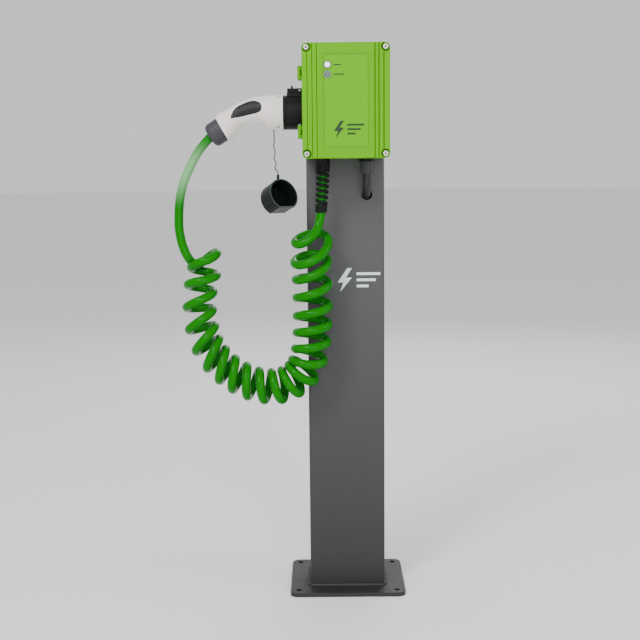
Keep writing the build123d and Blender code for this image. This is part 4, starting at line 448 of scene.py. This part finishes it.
def painted_lead_highlight(made):
    """Painted highlight: paler colour where the lead rises to the plug, fading out at both ends."""
    tree = made.node_tree
    shader = tree.nodes[made["shader"]]
    source = shader.inputs["Base Color"].links[0].from_socket
    where = tree.nodes.new("ShaderNodeTexCoord")
    split = tree.nodes.new("ShaderNodeSeparateXYZ")
    tree.links.new(where.outputs["Object"], split.inputs[0])
    rise = tree.nodes.new("ShaderNodeMapRange")
    rise.interpolation_type = "SMOOTHSTEP"
    rise.inputs["From Min"].default_value = 0.770
    rise.inputs["From Max"].default_value = 0.835
    fall = tree.nodes.new("ShaderNodeMapRange")
    fall.interpolation_type = "SMOOTHSTEP"
    fall.inputs["From Min"].default_value = 0.905
    fall.inputs["From Max"].default_value = 0.855
    left = tree.nodes.new("ShaderNodeMapRange")
    left.inputs["From Min"].default_value = -0.15
    left.inputs["From Max"].default_value = -0.20
    tree.links.new(split.outputs["Z"], rise.inputs["Value"])
    tree.links.new(split.outputs["Z"], fall.inputs["Value"])
    tree.links.new(split.outputs["X"], left.inputs["Value"])
    both = tree.nodes.new("ShaderNodeMath")
    both.operation = "MULTIPLY"
    tree.links.new(rise.outputs[0], both.inputs[0])
    tree.links.new(fall.outputs[0], both.inputs[1])
    every = tree.nodes.new("ShaderNodeMath")
    every.operation = "MULTIPLY"
    tree.links.new(both.outputs[0], every.inputs[0])
    tree.links.new(left.outputs[0], every.inputs[1])
    part = tree.nodes.new("ShaderNodeMath")
    part.operation = "MULTIPLY"
    part.inputs[1].default_value = 0.85
    tree.links.new(every.outputs[0], part.inputs[0])
    over = tree.nodes.new("ShaderNodeMix")
    over.data_type = "RGBA"
    over.inputs[7].default_value = (0.20, 0.46, 0.20, 1)
    tree.links.new(part.outputs[0], over.inputs[0])
    tree.links.new(source, over.inputs[6])
    tree.links.new(over.outputs[2], shader.inputs["Base Color"])


painted_lead_highlight(sheath)
# Painted shade where the cable's turns lie close together
painted_crevice_shade(sheath, (0.0002, 0.05, 0.0003), 0.016, 0.25, 0.8)


def by_island(name, colors, rough=0.4):
    """Each separate piece of a mesh takes one of several colours."""
    made = material(name, colors[0], rough, shade=0.08, shade_scale=60, grain=0.2)
    tree = made.node_tree
    shader = tree.nodes[made["shader"]]
    info = tree.nodes.new("ShaderNodeNewGeometry")
    pick = tree.nodes.new("ShaderNodeValToRGB")
    pick.color_ramp.interpolation = "CONSTANT"
    pick.color_ramp.elements[0].color = (*colors[0], 1)
    pick.color_ramp.elements[1].position = 1 / len(colors)
    pick.color_ramp.elements[1].color = (*colors[1], 1)
    for k, color in enumerate(colors[2:], 2):
        pick.color_ramp.elements.new(k / len(colors)).color = (*color, 1)
    tree.links.new(info.outputs["Random Per Island"], pick.inputs["Fac"])
    tree.links.new(pick.outputs["Color"], shader.inputs["Base Color"])
    return made


cores = by_island("core_insulation", [srgb(96, 54, 26), srgb(30, 70, 160), srgb(40, 130, 50), srgb(150, 150, 152)])

# Circuit board: solder mask with a copper grid showing through
board = material("solder_mask", srgb(10, 86, 40), 0.3, coat=0.4, shade=0.12, shade_scale=40, grain=0.1)


def copper_grid(made):
    """Tracks of a circuit board, as a fine paler grid."""
    tree = made.node_tree
    shader = tree.nodes[made["shader"]]
    source = shader.inputs["Base Color"].links[0].from_socket
    where = tree.nodes.new("ShaderNodeTexCoord")
    turn = tree.nodes.new("ShaderNodeMapping")
    turn.inputs["Rotation"].default_value = (math.radians(90), 0, 0)
    tree.links.new(where.outputs["Object"], turn.inputs["Vector"])
    brick = tree.nodes.new("ShaderNodeTexBrick")
    brick.inputs["Scale"].default_value = 160
    brick.inputs["Mortar Size"].default_value = 0.03
    brick.inputs["Color1"].default_value = (0, 0, 0, 1)
    brick.inputs["Color2"].default_value = (0, 0, 0, 1)
    brick.inputs["Mortar"].default_value = (1, 1, 1, 1)
    tree.links.new(turn.outputs[0], brick.inputs["Vector"])
    over = tree.nodes.new("ShaderNodeMix")
    over.data_type = "RGBA"
    over.inputs[7].default_value = (*srgb(52, 140, 70), 1)
    tree.links.new(brick.outputs["Color"], over.inputs[0])
    tree.links.new(source, over.inputs[6])
    tree.links.new(over.outputs[2], shader.inputs["Base Color"])


copper_grid(board)

FINISH = {
    lime: ["enclosure_base", "enclosure_cover"],
    lime_film: ["front_label"],
    column_paint: ["column_tube"],
    plate_paint: ["base_plate"],
    black: ["column_end_cap", "holster_housing", "holster_ring_nut", "holster_catch", "gland_locknuts",
            "gland_bodies", "charging_gland_nut", "connector_nose"],
    cap_black: ["dust_cap"],
    dark_grey: ["connector_cable_nut", "lamp_nuts"],
    gland_grey: ["supply_gland_nut"],
    rubber: ["connector_seal"],
    grip_rubber: ["connector_grips"],
    shell: ["connector_collar", "connector_shell_front", "connector_shell_back"],
    zinc: ["rivet_nuts", "mounting_screws", "hinge_pins", "cover_screws", "catch_pin", "catch_spring",
           "din_rail", "equipment_screws"],
    screw_dark: ["connector_screws"],
    chrome: ["lamp_housings"],
    brass: ["connector_contacts"],
    lit_lens: ["ready_lens"],
    green_lens: ["charging_lens"],
    print_dark: ["cover_pictogram"],
    print_pale: ["column_pictogram"],
    cord_grey: ["cap_cord_anchor"],
    sheath_black: ["supply_cable"],
    sheath: ["charging_cable_end", "connector_cable_end"],
    cores: ["internal_wires", "lamp_leads", "connector_wires"],
    device_grey: ["control_module", "contactor", "residual_current_breaker"],
    blue: ["breaker_toggle"],
    yellow: ["test_button"],
    board: ["controller_board"],
    chip_black: ["board_components"],
    steel: ["connector_cable_clamp"],
}
for extra, finish in (("enclosure_gaskets", rubber), ("connector_core", black)):
    if extra in nodes:
        FINISH[finish].append(extra)


def dress(thing, finish):
    thing.data.materials.clear()
    thing.data.materials.append(finish)


for finish, names in FINISH.items():
    for name in names:
        if name in nodes:
            dress(nodes[name], finish)
dress(cable, sheath)
dress(cap_cord, cord_grey)

# ================================================================ bend relief
RELIEF_TOP, RELIEF_TURNS, RELIEF_PITCH = 840.0, 6, 10.6
RELIEF_END = RELIEF_TOP - RELIEF_TURNS * RELIEF_PITCH
RELIEF_FOOT = RELIEF_END - 14


def cable_middle(z):
    """The cable's middle at a height below the gland, in mm."""
    high = axis_line[: int(np.searchsorted(axis_at, 95))]
    order = np.argsort(high[:, 2])
    return Vector((np.interp(z, high[order, 2], high[order, 0]),
                   np.interp(z, high[order, 2], high[order, 1]), z))


def relief_line():
    spots = []
    for a in np.linspace(0, RELIEF_TURNS * 2 * math.pi, RELIEF_TURNS * 40 + 1):
        z = RELIEF_TOP - 2.2 - a / (2 * math.pi) * (RELIEF_PITCH * RELIEF_TURNS - 1.2) / RELIEF_TURNS
        middle = cable_middle(z)
        radius = 11.1 - 1.1 * (RELIEF_TOP - z) / (RELIEF_TOP - RELIEF_END)
        spots.append((middle.x + radius * math.cos(a + 2.4), middle.y + radius * math.sin(a + 2.4), z))
    return np.array(spots)


def relief_section(i):
    share = i / (RELIEF_TURNS * 40)
    wide, tall = 2.5 - 0.5 * share, 2.9 - 0.25 * share
    return [(wide * math.copysign(abs(math.cos(t)) ** 0.6, math.cos(t)),
             tall * math.copysign(abs(math.sin(t)) ** 0.6, math.sin(t)))
            for t in np.linspace(0, 2 * math.pi, 16, endpoint=False)]


spiral = relief_line()
tangent = np.gradient(spiral, axis=0)
tangent /= np.linalg.norm(tangent, axis=1)[:, None]
outward = np.array([[p[0] - cable_middle(p[2]).x, p[1] - cable_middle(p[2]).y, 0] for p in spiral])
outward /= np.linalg.norm(outward, axis=1)[:, None]
upward = np.cross(outward, tangent)
verts, faces = [], []
SECTION = 16
for i, point in enumerate(spiral):
    for u, v in relief_section(i):
        verts.append((point + outward[i] * u + upward[i] * v) * MM)
faces += ring_faces(0, len(spiral), SECTION)
faces.append(tuple(range(SECTION)))
faces.append(tuple(len(verts) - 1 - k for k in range(SECTION)))


def ring_about_cable(top_z, foot_z, radii, sides=48):
    """Closed sleeve round the cable, its outside through (share, radius) pairs from top to foot."""
    start = len(verts)
    rows = [(0.0, 8.7)] + list(radii) + [(1.0, 8.7)]
    for share, radius in rows:
        z = top_z + (foot_z - top_z) * share
        middle = cable_middle(z)
        for k in range(sides):
            a = 2 * math.pi * k / sides
            verts.append(((middle.x + radius * math.cos(a)) * MM, (middle.y + radius * math.sin(a)) * MM, z * MM))
    faces.extend(ring_faces(start, len(rows), sides))


ring_about_cable(RELIEF_TOP, RELIEF_TOP - 2.6, [(0.0, 13.2), (0.25, 13.7), (0.8, 13.7), (1.0, 12.8)])
ring_about_cable(RELIEF_END + 1.5, RELIEF_FOOT, [(0.0, 10.6), (0.1, 11.3), (0.45, 11.4), (0.5, 11.0), (0.55, 11.35),
                                                (0.92, 11.2), (1.0, 10.4)])
relief = add_object("spiral_bend_relief", mesh_from("spiral_bend_relief", verts, faces))
dress(relief, rubber)
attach(relief, "post")
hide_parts("bend_relief")

# ================================================================ weld bead round the column's foot
low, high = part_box("column_tube")
half_x, half_y, foot_z = (high.x - low.x) / 2, (high.y - low.y) / 2, low.z


def weld_line():
    """Round the column's foot, corners rounded, evenly spaced."""
    spots = []
    corner = 0.0075
    for cx, cy, begin in ((1, 1, 0), (-1, 1, 90), (-1, -1, 180), (1, -1, 270)):
        for a in np.linspace(begin, begin + 90, 8):
            spots.append((cx * (half_x - 0.006) + corner * math.cos(math.radians(a)),
                          cy * (half_y - 0.006) + corner * math.sin(math.radians(a)), 0))
    spots.append(spots[0])
    return even(np.array(spots), 0.0011)[0][:-1]


bead = weld_line()
normal = np.stack([np.gradient(bead[:, 1]), -np.gradient(bead[:, 0]), np.zeros(len(bead))], 1)
normal[0] = normal[1]
normal[-1] = normal[-2]
normal /= np.linalg.norm(normal, axis=1)[:, None]
verts, faces = [], []
for i, point in enumerate(bead):
    ripple = 0.00035 * math.sin(i * 2 * math.pi / 3.4) + 0.0003 * math.sin(i * 0.31) + 0.0002 * math.sin(i * 0.083)
    size = 0.0042 + ripple
    for k in range(9):
        a = math.pi / 2 * k / 8
        verts.append((point[0] + normal[i][0] * (size * math.sin(a) - 0.001),
                      point[1] + normal[i][1] * (size * math.sin(a) - 0.001), foot_z + size * math.cos(a)))
count = len(bead)
for i in range(count):
    for k in range(8):
        n = (i + 1) % count
        faces.append((i * 9 + k, n * 9 + k, n * 9 + k + 1, i * 9 + k + 1))
weld = add_object("weld_bead", mesh_from("weld_bead", verts, faces))
dress(weld, weld_paint)
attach(weld, "post")
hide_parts("column_weld")


# ================================================================ dark rims round the shell's screws, painted shade of their holes
def islands(mesh):
    """Vertex positions of each separate piece of a mesh."""
    home = list(range(len(mesh.vertices)))

    def top_of(i):
        while home[i] != i:
            home[i] = home[home[i]]
            i = home[i]
        return i

    for edge in mesh.edges:
        a, b = (top_of(i) for i in edge.vertices)
        home[a] = b
    groups = {}
    for v in mesh.vertices:
        groups.setdefault(top_of(v.index), []).append(v.co.copy())
    return [np.array(g) for g in groups.values()]


PLUG_AXIS_Y, PLUG_AXIS_Z = -0.095, 0.9475
TAIL_MIDDLE, TAIL_LEAN = np.array([-0.2279, PLUG_AXIS_Y, 0.9196]), math.radians(33)
COLLAR_BEGINS_X = -0.17    # screws to the right of this are the collar's
SAME_SCREW = 0.004         # pieces of one screw lie closer together than this
RIM_SIDES = 28
# Radius and height above the screw's head, in metres
RIM_PROFILE = [(0.00155, -0.0006), (0.00155, 0.00012), (0.00175, 0.00022), (0.0024, 0.00022), (0.0026, 0.0001),
               (0.0026, -0.0006)]
verts, faces = [], []
seen = []
for spots in islands(nodes["connector_screws"].data):
    middle = (spots.min(0) + spots.max(0)) / 2
    if any(np.linalg.norm(middle - other) < SAME_SCREW for other in seen):
        continue
    seen.append(middle)
    if middle[0] > COLLAR_BEGINS_X:
        out = np.array([0, middle[1] - PLUG_AXIS_Y, middle[2] - PLUG_AXIS_Z])
    else:
        along = np.array([math.cos(TAIL_LEAN), 0, math.sin(TAIL_LEAN)])
        from_tail = middle - TAIL_MIDDLE
        out = from_tail - along * from_tail.dot(along)
    out = Vector(out).normalized()
    reach = max(Vector(v).dot(out) for v in spots)
    head = Vector(middle) + out * (reach - Vector(middle).dot(out))
    turn = Vector((0, 0, 1)).rotation_difference(out).to_matrix()
    start = len(verts)
    for radius, height in RIM_PROFILE:
        for k in range(RIM_SIDES):
            a = 2 * math.pi * k / RIM_SIDES
            verts.append(head + turn @ Vector((radius * math.cos(a), radius * math.sin(a), height)))
    faces += ring_faces(start, len(RIM_PROFILE), RIM_SIDES)
rims = add_object("shell_screw_hole_shade", mesh_from("shell_screw_hole_shade", verts, faces))
dress(rims, rubber)
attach(rims, "connector")


# ================================================================ small printed marks by the lamps
def bars(name, rects, y, finish, body, depth=0.00012):
    """Thin raised bars on a face that looks forwards: rects as (x, z, width, height) in mm."""
    made = bmesh.new()
    for x, z, width, height in rects:
        corners = [(-1, -1), (1, -1), (1, 1), (-1, 1)]
        loop = []
        for cx, cz in corners:
            for t in range(4):
                a = {(-1, -1): 180, (1, -1): 270, (1, 1): 0, (-1, 1): 90}[(cx, cz)] + 30 * t
                r = 0.3 * min(width, height)
                loop.append(((x + cx * (width / 2 - r) + r * math.cos(math.radians(a))) * MM,
                             (z + cz * (height / 2 - r) + r * math.sin(math.radians(a))) * MM))
        front = [made.verts.new((px, y - depth, pz)) for px, pz in loop]
        back = [made.verts.new((px, y + 0.00005, pz)) for px, pz in loop]
        made.faces.new(front)
        for k in range(len(loop)):
            j = (k + 1) % len(loop)
            made.faces.new((front[j], front[k], back[k], back[j]))
    mesh = bpy.data.meshes.new(name)
    bmesh.ops.recalc_face_normals(made, faces=made.faces)
    made.to_mesh(mesh)
    made.free()
    thing = add_object(name, mesh)
    dress(thing, finish)
    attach(thing, body)
    return thing


label_low, label_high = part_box("front_label")
bars("lamp_marks", [(-15.5, 1027, 13, 2.0), (-12.5, 1010.3, 19, 2.0)], label_low.y, print_dark, "cover")
# Faint border line pressed round the label
bars("label_border", [(0, label_high.z / MM - 2.4, 79, 0.9), (-39.6, 964, 0.7, 158), (39.6, 964, 0.7, 158),
                      (0, label_low.z / MM + 2.4, 79, 0.6)],
     label_low.y, material("border_print", (0.02, 0.14, 0.001), 0.4, spec=0.25, shade=0.08),
     "cover", 0.00006)

# ================================================================ light rim of the dust cap
yaw, pitch = math.radians(38.4), math.radians(22.0)
mouth = Vector((-116.0, -106.0, 797.0)) * MM
mouth_right = Vector((math.cos(yaw), math.sin(yaw), 0))
mouth_out = Vector((math.sin(yaw) * math.cos(pitch), -math.cos(yaw) * math.cos(pitch), math.sin(pitch)))
mouth_up = mouth_out.cross(mouth_right)


def cap_outline(radius, flat, count=96):
    """Round outline, cut by a flat along its lower edge, in the mouth's plane."""
    spots = []
    cut = math.asin(flat / radius)
    for a in np.linspace(-cut, math.pi + cut, count - 14):
        spots.append((radius * math.cos(a), radius * math.sin(a)))
    start, end = spots[-1], spots[0]
    for t in np.linspace(0, 1, 16)[1:-1]:
        spots.append((start[0] + (end[0] - start[0]) * t, start[1] + (end[1] - start[1]) * t))
    return spots


verts, faces = [], []
outline_out, outline_in = cap_outline(30.7, 25.7), cap_outline(28.7, 23.7)
count = len(outline_out)
for outline, lift in ((outline_out, -0.25), (outline_out, 0.12), (outline_in, 0.12), (outline_in, -0.25)):
    for u, v in outline:
        verts.append(mouth + (mouth_right * u + mouth_up * v + mouth_out * lift) * MM)
faces += ring_faces(0, 4, count)
rim = add_object("dust_cap_rim", mesh_from("dust_cap_rim", verts, faces, False))
dress(rim, material("cap_rim_wear", (0.06, 0.075, 0.07), 0.3, spec=0.4, shade=0.25, shade_scale=90, grain=0.3))
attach(rim, "dust_cap")

# ================================================================ faces of the rail devices
DEVICES = (("control_module", srgb(70, 140, 60)), ("contactor", srgb(180, 60, 40)),
           ("residual_current_breaker", srgb(40, 80, 150)))
for name, stripe in DEVICES:
    low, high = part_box(name)
    middle_x, middle_z = (low.x + high.x) / 2 / MM, (low.z + high.z) / 2 / MM
    bars(f"{name}_face", [(middle_x, middle_z + 15.5, 29, 5)], low.y,
         material(f"{name}_stripe", stripe, 0.4, shade=0.08), "post")
    for row in (-1, 1):
        for step in (-1, 0, 1):
            x, z = middle_x + step * 10, middle_z + row * 34
            screw = add_object(
                f"{name}_terminal_{row + 2}{step + 2}",
                lathe("terminal", [(0.0001, 0.0), (0.0029, 0.0), (0.0031, -0.0003), (0.0031, -0.0014),
                                   (0.0001, -0.0014)],
                      (x * MM, low.y + 0.0255, z * MM), (0, -1, 0), 24))
            dress(screw, zinc)
            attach(screw, "post")

# ================================================================ floor and light
bpy.ops.mesh.primitive_circle_add(vertices=96, radius=40, fill_type="NGON", location=(0, 0, 0))
floor = bpy.context.object
floor.name = "floor"
floor_paint = material("pale_floor", (0.86, 0.86, 0.86), 0.7, spec=0.05, shade=0.01, shade_scale=1, grain=0.02)
dress(floor, floor_paint)

world = bpy.data.worlds.new("world")
scene.world = world
world.use_nodes = True
world.node_tree.nodes["Background"].inputs[0].default_value = (1, 1, 1, 1)
world.node_tree.nodes["Background"].inputs[1].default_value = 0.85


def lamp(name, place, aim, size, power, color=(1, 1, 1)):
    data = bpy.data.lights.new(name, "AREA")
    data.shape = "RECTANGLE"
    data.size, data.size_y = size
    data.energy = power
    data.color = color
    thing = bpy.data.objects.new(name, data)
    scene.collection.objects.link(thing)
    thing.location = place
    thing.rotation_euler = (Vector(aim) - Vector(place)).to_track_quat("-Z", "Y").to_euler()
    return thing


lamp("key", (-1.5, -2.3, 2.9), (0, 0, 0.8), (0.9, 0.9), 75)
lamp("front", (0.5, -3.2, 1.3), (0, 0, 0.6), (1.6, 2.0), 42)
lamp("side", (2.4, -0.6, 1.8), (0, 0, 0.7), (0.8, 1.8), 16)
lamp("back", (0.6, 2.6, 2.2), (0, 0, 0.7), (1.8, 1.4), 34)

bpy.context.view_layer.update()
